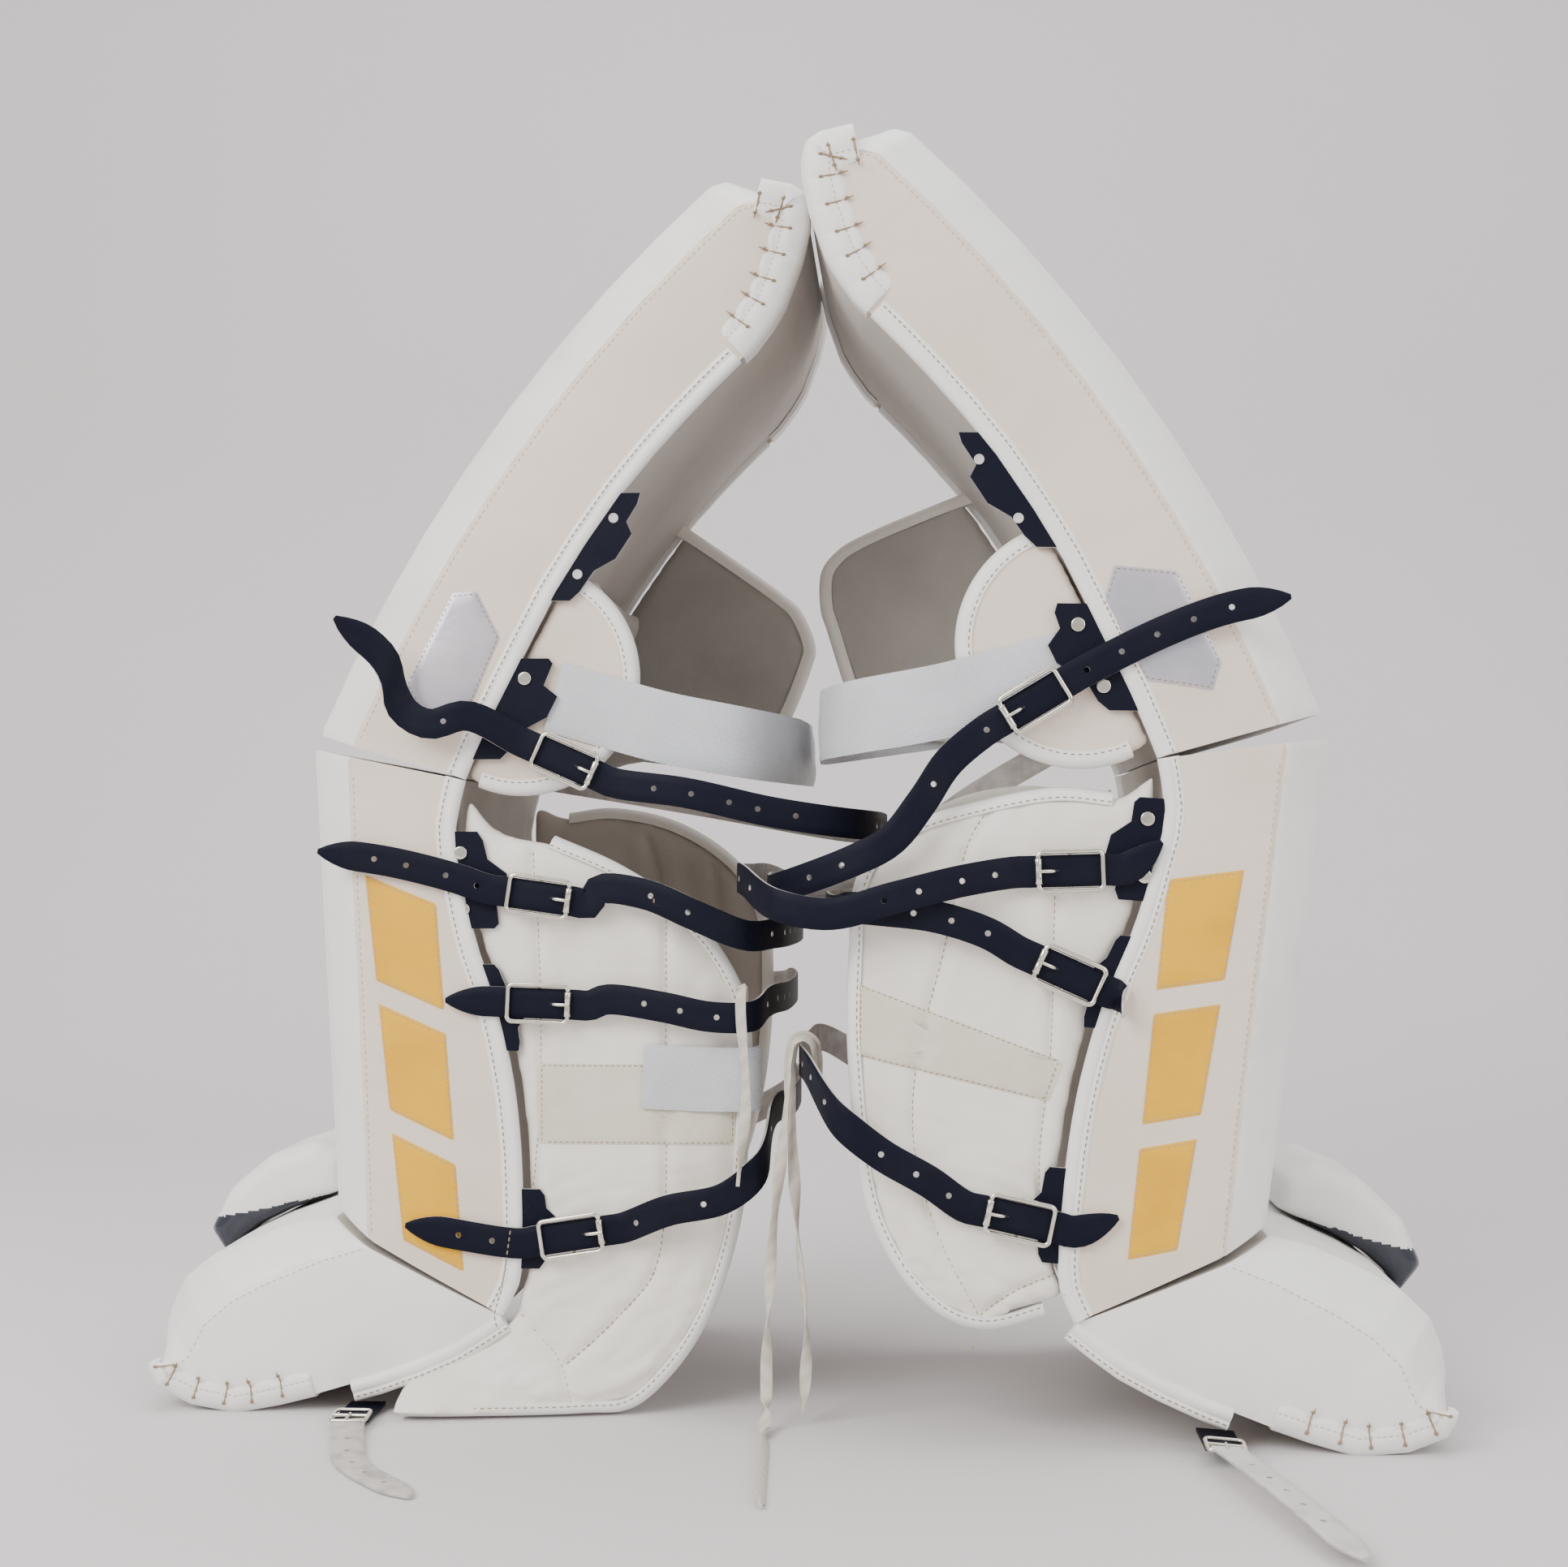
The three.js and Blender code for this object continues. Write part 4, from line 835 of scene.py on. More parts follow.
def shapeWing(side, node):
    piece = softPieces[(side, node)]
    values = wings[node]
    only(piece)
    finer = piece.modifiers.new("finer", "SUBSURF")
    finer.levels = finer.render_levels = 1
    applyAll(piece)
    co, normal = meshPoints(piece), normalsOf(piece)
    thigh = "knee" in node
    local = unplace(side, co, thigh)
    xz = local[:, [0, 2]]
    flat = np.abs(normal[:, 1]) ** 2
    push = np.zeros(len(co))
    if node == "outer_calf_wing":
        d = distanceTo(xz, wingSeams[side])
        push += -2.3 * np.exp(-(d / 2.4) ** 2) + 0.9 * np.exp(-((d - 9) / 6) ** 2)
        fold = np.array([noise.noise(Vector((x / 34 + z / 60, z / 13 - x / 30, 2.0))) for x, z in xz])
        fine = np.array([noise.noise(Vector((x / 12, z / 9, 7.0))) for x, z in xz])
        low = np.clip((150 - xz[:, 1]) / 120, 0.15, 1)
        push += 1.5 * low * np.abs(fold) * 1.6 - 0.7 + 0.35 * fine
    elif node == "inner_calf_wing":
        d = distanceTo(xz, innerSeams)
        push += -2.6 * np.exp(-(d / 3) ** 2) + 1.2 * np.exp(-((d - 10) / 7) ** 2)
        push += 0.8 * np.array([noise.noise(Vector((x / 26, z / 18, 4.0))) for x, z in xz])
    elif node == "knee_cradle":
        for height in (360, 385, 410, 435, 460):
            push += -2.4 * np.exp(-((xz[:, 1] - height) / 3) ** 2)
        push += 0.8 * np.array([noise.noise(Vector((y / 24, z / 20, 4.0))) for y, z in local[:, 1:]])
    elif node in ("outer_knee_wing", "inner_knee_wing"):
        push += 0.7 * np.array([noise.noise(Vector((x / 30, z / 26, 9.0))) for x, z in xz])
    setPoints(piece, co + normal * (push * flat * mm)[:, None])
    piece.data.materials.append(values["cloth"])
    if node == "boot_guard":
        # The lower band of the guard is smooth and dark, over a padded white top.
        piece.data.materials.append(darkGloss)
        low, high = local[:, 2].min(), local[:, 2].max()
        for polygon in piece.data.polygons:
            z = local[polygon.vertices[0], 2]
            x = local[polygon.vertices[0], 0]
            if (z - low) / (high - low) < 0.34 + 0.22 * (x - local[:, 0].min()) / np.ptp(local[:, 0]):
                polygon.material_index = 1
    smoothByAngle(piece, 70)
    body = f"{side}_{node}" if "wing" in node else (f"{side}_thigh" if node == "knee_cradle" else f"{side}_boot")
    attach(piece, body)
    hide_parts(f"{side}_{node}")
    return piece


for side in sides:
    for node in wings:
        shapeWing(side, node)
print("padded forms sewn")


# Bound edges of the wings.
outerWingRear = {
    "left": [(0.247, 1.011), (0.571, 0.951), (0.855, 0.874), (1.058, 0.789), (1.2, 0.685), (1.241, 0.6),
             (1.241, 0.48), (1.22, 0.326), (1.2, 0.223), (1.12, 0.086), (1.02, -0.017), (0.855, -0.12),
             (0.65, -0.1926)],
    "right": [(0, 1.0574), (0.261, 1.059), (0.642, 1.018), (0.945, 0.967), (1.11, 0.912), (1.193, 0.827),
              (1.191, 0.713), (1.174, 0.549), (1.122, 0.386), (1.046, 0.224), (0.951, 0.129), (0.779, 0.035),
              (0.575, -0.02)],
}
wingRims = {side: [onShin(*q) for q in outerWingRear[side]] for side in sides}
wingRims["left"] += [(52.5, -59), (-12, -59), (-60, -59)]
wingRims["right"] += [(50, -8.3), (18, 2)]
innerRim = [onShin(*q) for q in (
    (0, 1.078), (0.26, 1.09), (0.62, 1.06), (0.92, 0.99), (1.1, 0.91), (1.2, 0.8), (1.22, 0.68), (1.2, 0.5),
    (1.15, 0.36), (1.06, 0.22), (0.95, 0.12), (0.78, 0.03), (0.6, -0.02), (0.4, -0.027), (0.16, 0))]
kneeRims = {
    "left": [(56, 555), (66, 549), (160, 484), (173, 472), (184.3, 444), (182, 432), (160, 382),
             (150, 375), (76, 357)],
    "right": [(70, 543), (82, 539), (165, 503), (178, 494), (188, 480), (188, 452), (184, 440),
              (160, 376), (150, 368), (76, 357)],
}
discMiddle = {"left": onKnee(0.083, 0.148), "right": onKnee(0.108, 0.156)}


def rimPiece(side, node, line, width, material, stitched=True):
    # A tape folded round the edge of a plate: the plate's own faces give its depth at each point.
    thigh = "knee" in node
    plate = softPieces[(side, node)]
    tree = surfaceOf(plate)
    path = curveThrough(line, 130)
    tangent = unit(np.gradient(path, axis=0))
    middle = np.array(line).mean(0)
    inward = np.stack([-tangent[:, 1], tangent[:, 0]], 1)
    if np.mean(np.sum((middle - path) * inward, 1)) < 0:
        inward = -inward
    probe = path + inward * (width + 1.5)
    start = place(side, [(x, -120, z) for x, z in probe], thigh)
    end = place(side, [(x, 420, z) for x, z in probe], thigh)
    nearY, farY = [], []
    for a, b in zip(start, end):
        hit = tree.ray_cast(Vector(a), Vector((0, 1, 0)))
        back = tree.ray_cast(Vector(b), Vector((0, -1, 0)))
        nearY.append(hit[0].y if hit[0] is not None else np.nan)
        farY.append(back[0].y if back[0] is not None else np.nan)
    good = ~np.isnan(nearY)
    if good.sum() < 8:
        return
    index = np.arange(len(path))
    nearY = np.interp(index, index[good], np.array(nearY)[good])
    farY = np.interp(index, index[good], np.array(farY)[good])
    kernel = np.ones(9) / 9
    nearY = np.convolve(np.pad(nearY, 4, mode="edge"), kernel, "valid")
    farY = np.convolve(np.pad(farY, 4, mode="edge"), kernel, "valid")
    points, rowA = [], []
    base = place(side, [(x, 0, z) for x, z in path], thigh)
    deep = place(side, [(x, 0, z) for x, z in path + inward], thigh) - base
    for i in range(len(path)):
        y0, y1 = nearY[i], farY[i]
        half = (y1 - y0) / 2
        profile = [(width, 0.0004), (width - 0.4, -0.0011), (width * 0.5, -0.0013), (1.2, -0.0002),
                   (-0.9, half * 0.5), (-1.5, half), (-0.9, half * 1.5), (1.2, 2 * half + 0.0002),
                   (width * 0.5, 2 * half + 0.0013), (width - 0.4, 2 * half + 0.0011), (width, 2 * half - 0.0004),
                   (width * 0.4, half)]
        for a, y in profile:
            q = base[i] + deep[i] * a
            points.append((q[0], y0 + y, q[2]))
        q = base[i] + deep[i] * (width - 2.2)
        rowA.append((q[0], y0 - 0.0013, q[2]))
    size = 12
    faces = []
    for i in range(len(path) - 1):
        for k in range(size):
            n = (k + 1) % size
            faces.append((i * size + k, i * size + n, (i + 1) * size + n, (i + 1) * size + k))
    faces += [tuple(range(size)), tuple(range((len(path) - 1) * size, len(path) * size))]
    tape = newPiece(f"{side}_{node}_binding", points, faces, [material], angle=60)
    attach(tape, f"{side}_{node}")
    if stitched:
        up = np.tile([0.0, -1.0, 0.0], (len(rowA), 1))
        row = stitchRow(f"{side}_{node}_binding_stitches", rowA, 4.4 * mm,
                        (2.5 * mm, 0.7 * mm, 0.45 * mm), thread, up)
        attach(row, f"{side}_{node}")


for side in sides:
    rimPiece(side, "outer_calf_wing", wingRims[side], 7, whiteLeather)
    rimPiece(side, "inner_calf_wing", innerRim, 7, quiltNylon, False)
    rimPiece(side, "inner_knee_wing", kneeRims[side], 8, quiltNylon, False)
    a = np.radians(np.linspace({"left": 80, "right": 72}[side], {"left": -112, "right": -116}[side], 40))
    arc = np.stack([discMiddle[side][0] + 73.6 * np.cos(a), discMiddle[side][1] + 73.6 * np.sin(a)], 1)
    rimPiece(side, "outer_knee_wing", arc, 9, whiteLeather)
print("wings bound")


# Leather straps with punched holes and cut points.
strapCut = {"wide": 19.0, "thick": 2.2, "point": 26.0, "hole": 3.6, "holePitch": 23.5, "stations": 150}
# Each strap in shares of the shin, or of the thigh for the knee straps. "tip" runs to the buckle and
# "run" on from it, each point with how far it stands off the buckle's layer in mm. The buckle has its
# slope in degrees. "turn" is where the strap goes round the leg, and "far" its standoff on the far side.
straps = {
    ("left", "knee"): {
        "tip": [(-0.165, 0.226, 34), (-0.101, 0.171, 22), (-0.078, 0.1, 14), (-0.04, 0.078, 14),
                (0.014, 0.09, 12), (0.08, 0.066, 6)],
        "buckle": (0.15, 0.026, 24),
        "run": [(0.2, 0.009, 3), (0.326, -0.02, 8), (0.441, -0.046, 6), (0.53, -0.06, 0)],
        "turn": (0.6, -0.065)},
    ("left", "calf"): {
        "tip": [(-0.929, 0.982, 4), (-0.557, 0.959, 2), (-0.234, 0.925, 0.5)], "buckle": (0.19, 0.886, 8),
        "run": [(0.494, 0.9, 2), (0.738, 0.891, 8), (0.98, 0.849, 12), (1.222, 0.806, 6)],
        "turn": (1.43, 0.806)},
    ("left", "shin"): {
        "tip": [(-0.28, 0.666, 0.5)], "buckle": (0.19, 0.66, 2),
        "run": [(0.535, 0.669, 2), (0.818, 0.655, 6), (1.061, 0.635, 8), (1.263, 0.635, 4)],
        "turn": (1.4, 0.66)},
    ("left", "ankle"): {
        "tip": [(-0.476, 0.191, 1)], "buckle": (0.36, 0.172, -9),
        "run": [(0.576, 0.205, 8), (0.858, 0.234, 14), (1.142, 0.262, 14), (1.304, 0.32, 8)],
        "turn": (1.42, 0.42)},
    ("right", "knee"): {
        "tip": [(-0.167, 0.218, 8), (-0.084, 0.202, 5), (0.0, 0.17, 1)], "buckle": (0.17, 0.075, 32),
        "run": [(0.285, -0.01, 4), (0.32, -0.065, 8), (0.36, -0.117, 8), (0.41, -0.145, 6)],
        "turn": (0.535, -0.186)},
    ("right", "calf"): {
        "tip": [(-0.238, 0.968, 1)], "buckle": (0.18, 0.897, 6),
        "run": [(0.426, 0.885, 2), (0.693, 0.86, 12), (0.996, 0.818, 17), (1.298, 0.775, 14), (1.56, 0.785, 8)],
        "turn": (1.8, 0.826), "far": 8},
    ("right", "shin"): {
        "tip": [(-0.1, 0.62, 16), (0.0, 0.64, 6)], "buckle": (0.15, 0.69, -20),
        "run": [(0.35, 0.73, 1), (0.55, 0.76, 3), (0.8, 0.785, 5), (1.05, 0.79, 5), (1.2, 0.79, 2)],
        "turn": (1.34, 0.78)},
    ("right", "ankle"): {
        "tip": [(-0.158, 0.219, 1)], "buckle": (0.3, 0.198, -8),
        "run": [(0.502, 0.219, 4), (0.742, 0.261, 8), (0.983, 0.31, 10), (1.187, 0.37, 8)],
        "turn": (1.42, 0.45)},
}
strapLayer = {"centre": -5.4, "tabFace": -0.5, "buckleLong": 41.0, "clearOf": 36.0}


def strapRoute(side, name):
    # The buckle's middle and slope, and the strap's points from its free tip round to the inner side.
    values = straps[(side, name)]
    spot = onKnee if name == "knee" else onShin
    layer = strapLayer["centre"]
    bx, bz, slope = values["buckle"]
    middle = spot(bx, bz)
    way = np.array([math.cos(math.radians(slope)), -math.sin(math.radians(slope))]) * strapLayer["buckleLong"]

    def standing(points):
        return [(spot(x, z)[0], layer - off, spot(x, z)[1]) for x, z, off in points]

    through = [(*(middle + way * step), layer) for step in (-0.8, -0.55, 0, 0.55, 0.8)]
    turn, last = spot(*values["turn"]), spot(*values["run"][-1][:2])
    curve = splinePoints(thighCurve if name == "knee" else shinCurve, 120)
    edge = curve[np.argmin(abs(curve[:, 1] - middle[1]))] + (6, 0)
    farY = padWidth - layer
    over = values.get("far", 0)
    inner = padWidth - strapLayer["tabFace"]
    route = standing(values["tip"]) + [(x, y, z) for x, z, y in through] + standing(values["run"]) + [
        (turn[0] - 8, 20, turn[1]), (turn[0], padWidth * 0.3, turn[1]), (turn[0], padWidth * 0.7, turn[1]),
        (turn[0] - 8, padWidth - 20, turn[1]), (last[0], farY + over, (last[1] + turn[1]) / 2),
        ((last[0] + edge[0]) / 2, farY + 4 + over, (last[1] + edge[1]) / 2),
        (edge[0] + 40, inner, edge[1]), (edge[0], inner, edge[1])]
    # Points beside the buckle would fold the strap back on itself.
    route = [q for q in route if abs(q[1] - layer) < 0.01
             or math.hypot(q[0] - middle[0], q[2] - middle[1]) > strapLayer["clearOf"]]
    return middle, slope, route


def cutter(points, outward, radius, deep):
    # One mesh of round punches, for a strap's holes.
    verts, faces = [], []
    for p, n in zip(points, outward):
        n = unit(n)
        a = unit(np.cross(n, [0.13, 0.2, 0.97]))
        b = np.cross(n, a)
        start = len(verts)
        for end in (-deep, deep):
            for k in range(12):
                t = math.tau * k / 12
                verts.append(p + n * end + (a * math.cos(t) + b * math.sin(t)) * radius)
        for k in range(12):
            faces.append((start + k, start + (k + 1) % 12, start + 12 + (k + 1) % 12, start + 12 + k))
        faces.append(tuple(start + k for k in range(11, -1, -1)))
        faces.append(tuple(start + 12 + k for k in range(12)))
    return newPiece("punches", verts, faces, [cutEdge])


def leatherRibbon(name, path, up, outer, widths, thick, finishes, holes, holeRadius):
    tangent = unit(np.gradient(path, axis=0))
    up = unit(up - tangent * np.sum(up * tangent, 1, keepdims=True))
    normal = np.cross(up, tangent) * outer
    t = thick / 2
    sections = []
    for w in widths:
        h = w / 2
        e = min(0.0006, h * 0.3)
        sections.append([(-h, -t * 0.55), (-h + e, -t), (-h * 0.4, -t * 1.02), (h * 0.4, -t * 1.02), (h - e, -t),
                         (h, -t * 0.55), (h, t * 0.55), (h - e, t), (h * 0.4, t * 1.06), (-h * 0.4, t * 1.06),
                         (-h + e, t), (-h, t * 0.55)])
    points, faces, bands = sweep(path, up, normal, sections)
    pick = {0: 1, 1: 1, 2: 1, 3: 1, 4: 1, 5: 1, 6: 0, 7: 0, 8: 0, 9: 0, 10: 0, 11: 1, -1: 1}
    piece = newPiece(name, points, faces, finishes, [pick[b] for b in bands], angle=50)
    if len(holes):
        whole = piece.data.copy()
        for solver in ("EXACT", "MANIFOLD", "FLOAT"):
            punches = cutter(path[holes], normal[holes], holeRadius, thick)
            cut = piece.modifiers.new("punch", "BOOLEAN")
            cut.operation = "DIFFERENCE"
            cut.solver = solver
            cut.object = punches
            applyAll(piece)
            bpy.data.objects.remove(punches)
            if len(piece.data.vertices) > len(whole.vertices):
                break
            piece.data = whole.copy()
        print(name, "punched", len(piece.data.vertices) - len(whole.vertices))
        while len(piece.data.materials) > len(finishes):
            piece.data.materials.pop()
        slots = np.zeros(len(piece.data.polygons), int)
        piece.data.polygons.foreach_get("material_index", slots)
        piece.data.polygons.foreach_set("material_index", np.minimum(slots, len(finishes) - 1))
        smoothByAngle(piece, 50)
    return piece


def strapPiece(side, name):
    thigh = name == "knee"
    values = strapCut
    middle, _, route = strapRoute(side, name)
    path = place(side, curveThrough(route, values["stations"]), thigh)
    count = len(path)
    run = np.linspace(0, lengthOf(path) / mm, count)
    up = np.tile([0.0, 0.0, 1.0], (count, 1))
    taper = np.clip(run / values["point"], 0, 1)
    widths = values["wide"] * mm * np.clip(0.16 + 0.84 * np.sin(taper * math.pi / 2) ** 0.85, 0.16, 1)
    holes, at = [], 34.0
    limit = run[-1] * 0.52
    tangent = unit(np.gradient(path, axis=0))
    bends = np.degrees(np.arccos(np.clip(np.sum(tangent[:-3] * tangent[3:], 1), -1, 1)))
    bends = np.pad(bends, (1, 2), mode="edge")
    centre = place(side, [(middle[0], strapLayer["centre"], middle[1])], thigh)[0]
    while at < limit:
        i = int(np.argmin(abs(run - at)))
        if np.linalg.norm(path[i] - centre) > 0.032 and bends[i] < 12:
            holes.append(i)
        at += values["holePitch"]
    outer = -1 if side == "left" else 1
    piece = leatherRibbon(f"{side}_{name}_strap_leather", path, up, outer, widths, values["thick"] * mm,
                          [navyLeather, cutEdge], np.array(holes), values["hole"] / 2 * mm)
    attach(piece, f"{side}_thigh" if thigh else "shins")
    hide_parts(f"{side}_{name}_strap")


for side in sides:
    for name in ("knee", "calf", "shin", "ankle"):
        strapPiece(side, name)
print("straps cut and punched")


# Roller buckles.
buckleParts = {"long": 41.0, "tall": 26.2, "wire": 1.55, "ring": -8.5, "bar": -2.4, "roller": 2.3}


def tube(path, radius, sides_=10, closed=False):
    path = np.array(path, float)
    if closed:
        tangent = unit(np.roll(path, -1, 0) - np.roll(path, 1, 0))
    else:
        tangent = unit(np.gradient(path, axis=0))
    up = np.cross(tangent, np.array([0.02, 1.0, 0.03]))
    up = unit(up)
    side = np.cross(tangent, up)
    points, faces = [], []
    radius = np.broadcast_to(radius, len(path))
    for i in range(len(path)):
        for k in range(sides_):
            t = math.tau * k / sides_
            points.append(path[i] + (up[i] * math.cos(t) + side[i] * math.sin(t)) * radius[i])
    last = len(path) if closed else len(path) - 1
    for i in range(last):
        for k in range(sides_):
            n, j = (k + 1) % sides_, (i + 1) % len(path)
            faces.append((i * sides_ + k, i * sides_ + n, j * sides_ + n, j * sides_ + k))
    if not closed:
        faces += [tuple(range(sides_)), tuple(range((len(path) - 1) * sides_, len(path) * sides_))]
    return points, faces


def gather(shapes):
    points, faces = [], []
    for p, f in shapes:
        start = len(points)
        points += [tuple(q) for q in p]
        faces += [tuple(start + k for k in face) for face in f]
    return points, faces


def buckleShape(tongueWay):
    b = buckleParts
    halfLong, halfTall, r = b["long"] / 2 - b["wire"], b["tall"] / 2 - b["wire"], b["wire"]
    corner = 3.4
    ring = []
    for cx, cz, start in ((halfLong, halfTall, 0), (-halfLong, halfTall, 90), (-halfLong, -halfTall, 180),
                          (halfLong, -halfTall, 270)):
        for k in range(7):
            a = math.radians(start + 15 * k)
            ring.append((cx - math.copysign(corner, cx) + corner * math.cos(a), b["ring"],
                         cz - math.copysign(corner, cz) + corner * math.sin(a)))
    shapes = [tube(ring, r, 12, True)]
    shapes.append(tube([(0, b["ring"] + 0.5, halfTall), (0, b["bar"] - 0.6, halfTall), (0, b["bar"], halfTall - 0.7),
                        (0, b["bar"], 0), (0, b["bar"], 0.7 - halfTall), (0, b["bar"] - 0.6, -halfTall),
                        (0, b["ring"] + 0.5, -halfTall)], 1.3, 10))
    rollerZ = np.array([-7.6, -7.4, -7, -2.5, -2.2, 2.2, 2.5, 7, 7.4, 7.6])
    rollerR = np.array([1.7, 2.1, 2.3, 2.3, 2.25, 2.25, 2.3, 2.3, 2.1, 1.7])
    shapes.append(tube([(tongueWay * halfLong, b["ring"], z) for z in rollerZ], rollerR, 16))
    tongue = curveThrough([(0.0, b["bar"] - 1.6, 0), (tongueWay * 3.5, b["bar"] - 1.4, 0),
                           (tongueWay * 7.5, b["bar"] - 3.0, 0), (tongueWay * 10.5, b["ring"] - 0.8, 0),
                           (tongueWay * 15, b["ring"] - 2.4, 0), (tongueWay * 20.6, b["ring"] - 2.7, 0)], 18)
    shapes.append(tube(tongue, np.linspace(1.35, 1.0, 18), 10))
    loop = [(2.0 * math.cos(t), b["bar"] + 2.0 * math.sin(t), 0) for t in np.linspace(0, math.tau, 14, endpoint=False)]
    shapes.append(tube([(x, y, 0.001 * i) for i, (x, y, _) in enumerate(loop)], 0.9, 8, True))
    return gather(shapes)


def turned(points, x, z, slope):
    a = math.radians(slope)
    p = np.array(points)
    return np.stack([x + p[:, 0] * math.cos(a) + p[:, 2] * math.sin(a), p[:, 1],
                     z - p[:, 0] * math.sin(a) + p[:, 2] * math.cos(a)], 1)


def bucklePiece(side, name):
    (x, z), slope, _ = strapRoute(side, name)
    points, faces = buckleShape(1)
    piece = newPiece(f"{side}_{name}_roller_buckle", place(side, turned(points, x, z, slope), name == "knee"),
                     faces, [nickel], angle=60)
    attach(piece, f"{side}_thigh" if name == "knee" else "shins")
    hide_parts(f"{side}_{name}_buckle")


for side in sides:
    for name in ("knee", "calf", "shin", "ankle"):
        bucklePiece(side, name)
print("buckles bent")


# Leather tabs: the cut pieces keep their shape and get a worked edge.
for side in sides:
    for name in ("thigh", "knee", "calf", "shin", "ankle"):
        tab = nodes[f"{side}_{name}_tab"]
        tab.data.materials.clear()
        tab.data.materials.append(navyLeather)
        tab.data.materials.append(cutEdge)
        edge = tab.modifiers.new("edge", "BEVEL")
        edge.width = 0.0005
        edge.segments = 2
        edge.angle_limit = math.radians(50)
        slots = [0 if abs(p.normal.y) > 0.5 else 1 for p in tab.data.polygons]
        tab.data.polygons.foreach_set("material_index", slots)
    toeTab = nodes[f"{side}_toe_tab"]
    toeTab.data.materials.clear()
    toeTab.data.materials.append(navyLeather)
    edge = toeTab.modifiers.new("edge", "BEVEL")
    edge.width = 0.0006
    edge.segments = 2

screwSpots = {
    ("left", "thigh"): [(13.4, 399.8), (-3.3, 363.7)],
    ("right", "thigh"): [(23.7, 414.9), (8.0, 378.4)],
    ("left", "shin"): [(-27.0, 289.5), (-25.0, 254.0)],
    ("right", "shin"): [(-21.0, 299.5), (-21.5, 265.5)],
}
eyeletSpots = {"left": [(69.7, 501.3), (46.9, 465.7)], "right": [(84.0, 513.5), (60.0, 478.3)]}


def screwPiece(name, side, thigh, x, z, turn):
    # A domed head with a real cross cut into it.
    bpy.ops.object.select_all(action="DESELECT")
    bpy.ops.mesh.primitive_cylinder_add(vertices=32, radius=4.3 * mm, depth=1.6 * mm)
    head = bpy.context.object
    dome = head.modifiers.new("dome", "BEVEL")
    dome.width = 0.0007
    dome.segments = 4
    dome.limit_method = "ANGLE"
    applyAll(head)
    for a in (0, 90):
        bpy.ops.object.select_all(action="DESELECT")
        bpy.ops.mesh.primitive_cube_add(size=1)
        blade = bpy.context.object
        blade.scale = (4.6 * mm, 1.0 * mm, 1.2 * mm)
        blade.location = (0, 0, 0.8 * mm)
        blade.rotation_euler = (0, 0, math.radians(a + turn))
        bpy.context.view_layer.update()
        cut = head.modifiers.new("cross", "BOOLEAN")
        cut.operation = "DIFFERENCE"
        cut.object = blade
        applyAll(head)
        bpy.data.objects.remove(blade)
    co = meshPoints(head)
    middle = place(side, [(x, -1.2, z)], thigh)[0]
    setPoints(head, np.stack([middle[0] + co[:, 0], middle[1] - co[:, 2], middle[2] + co[:, 1]], 1))
    head.name = name
    head.data.materials.clear()
    head.data.materials.append(nickel)
    smoothByAngle(head, 40)
    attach(head, f"{side}_thigh" if thigh else "shins")


for (side, part), spots in screwSpots.items():
    for i, (x, z) in enumerate(spots):
        screwPiece(f"{side}_{part}_screw_{i}", side, part == "thigh", x, z, 20 + 31 * i)
for side in sides:
    for i, (x, z) in enumerate(eyeletSpots[side]):
        circle = [(x + 2.6 * math.cos(t), -0.9, z + 2.6 * math.sin(t))
                  for t in np.linspace(0, math.tau, 24, endpoint=False)]
        disc = [(x + 2.2 * math.cos(t), y, z + 2.2 * math.sin(t)) for y in (-1.0, 0.5)
                for t in np.linspace(0, math.tau, 24, endpoint=False)]
        cup = [(k, (k + 1) % 24, 24 + (k + 1) % 24, 24 + k) for k in range(24)]
        cup += [tuple(range(24)), tuple(range(24, 48))]
        points, faces = gather([tube(circle, 0.55, 8, True), (disc, cup)])
        eyelet = newPiece(f"{side}_tab_eyelet_{i}", place(side, points, True), faces, [paleLeather], angle=60)
        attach(eyelet, f"{side}_thigh")
print("tabs and screws fitted")


# Woven elastic bands.
bandShares = {
    "knee": {"wide": 45, "route": [(0.13, 3.3, 0.12), (0.2, 3.3, 0.1), (0.29, 2.3, 0.075), (0.4, 14, 0.055),
                                   (0.46, 70, 0.05), (0.475, 167.4, 0.055), (0.478, 253, 0.06), (0.46, 275, 0.065),
                                   (0.43, 278.7, 0.07), (0.3, 275.7, 0.09), (0.14, 275.7, 0.11)]},
    "calf": {"wide": 40, "route": [(0.715, -1, 0.505), (1.05, -1.2, 0.5), (1.24, 0, 0.5), (1.3, 11, 0.5),
                                   (1.24, 22.5, 0.5), (0.9, 22.5, 0.5)]},
}


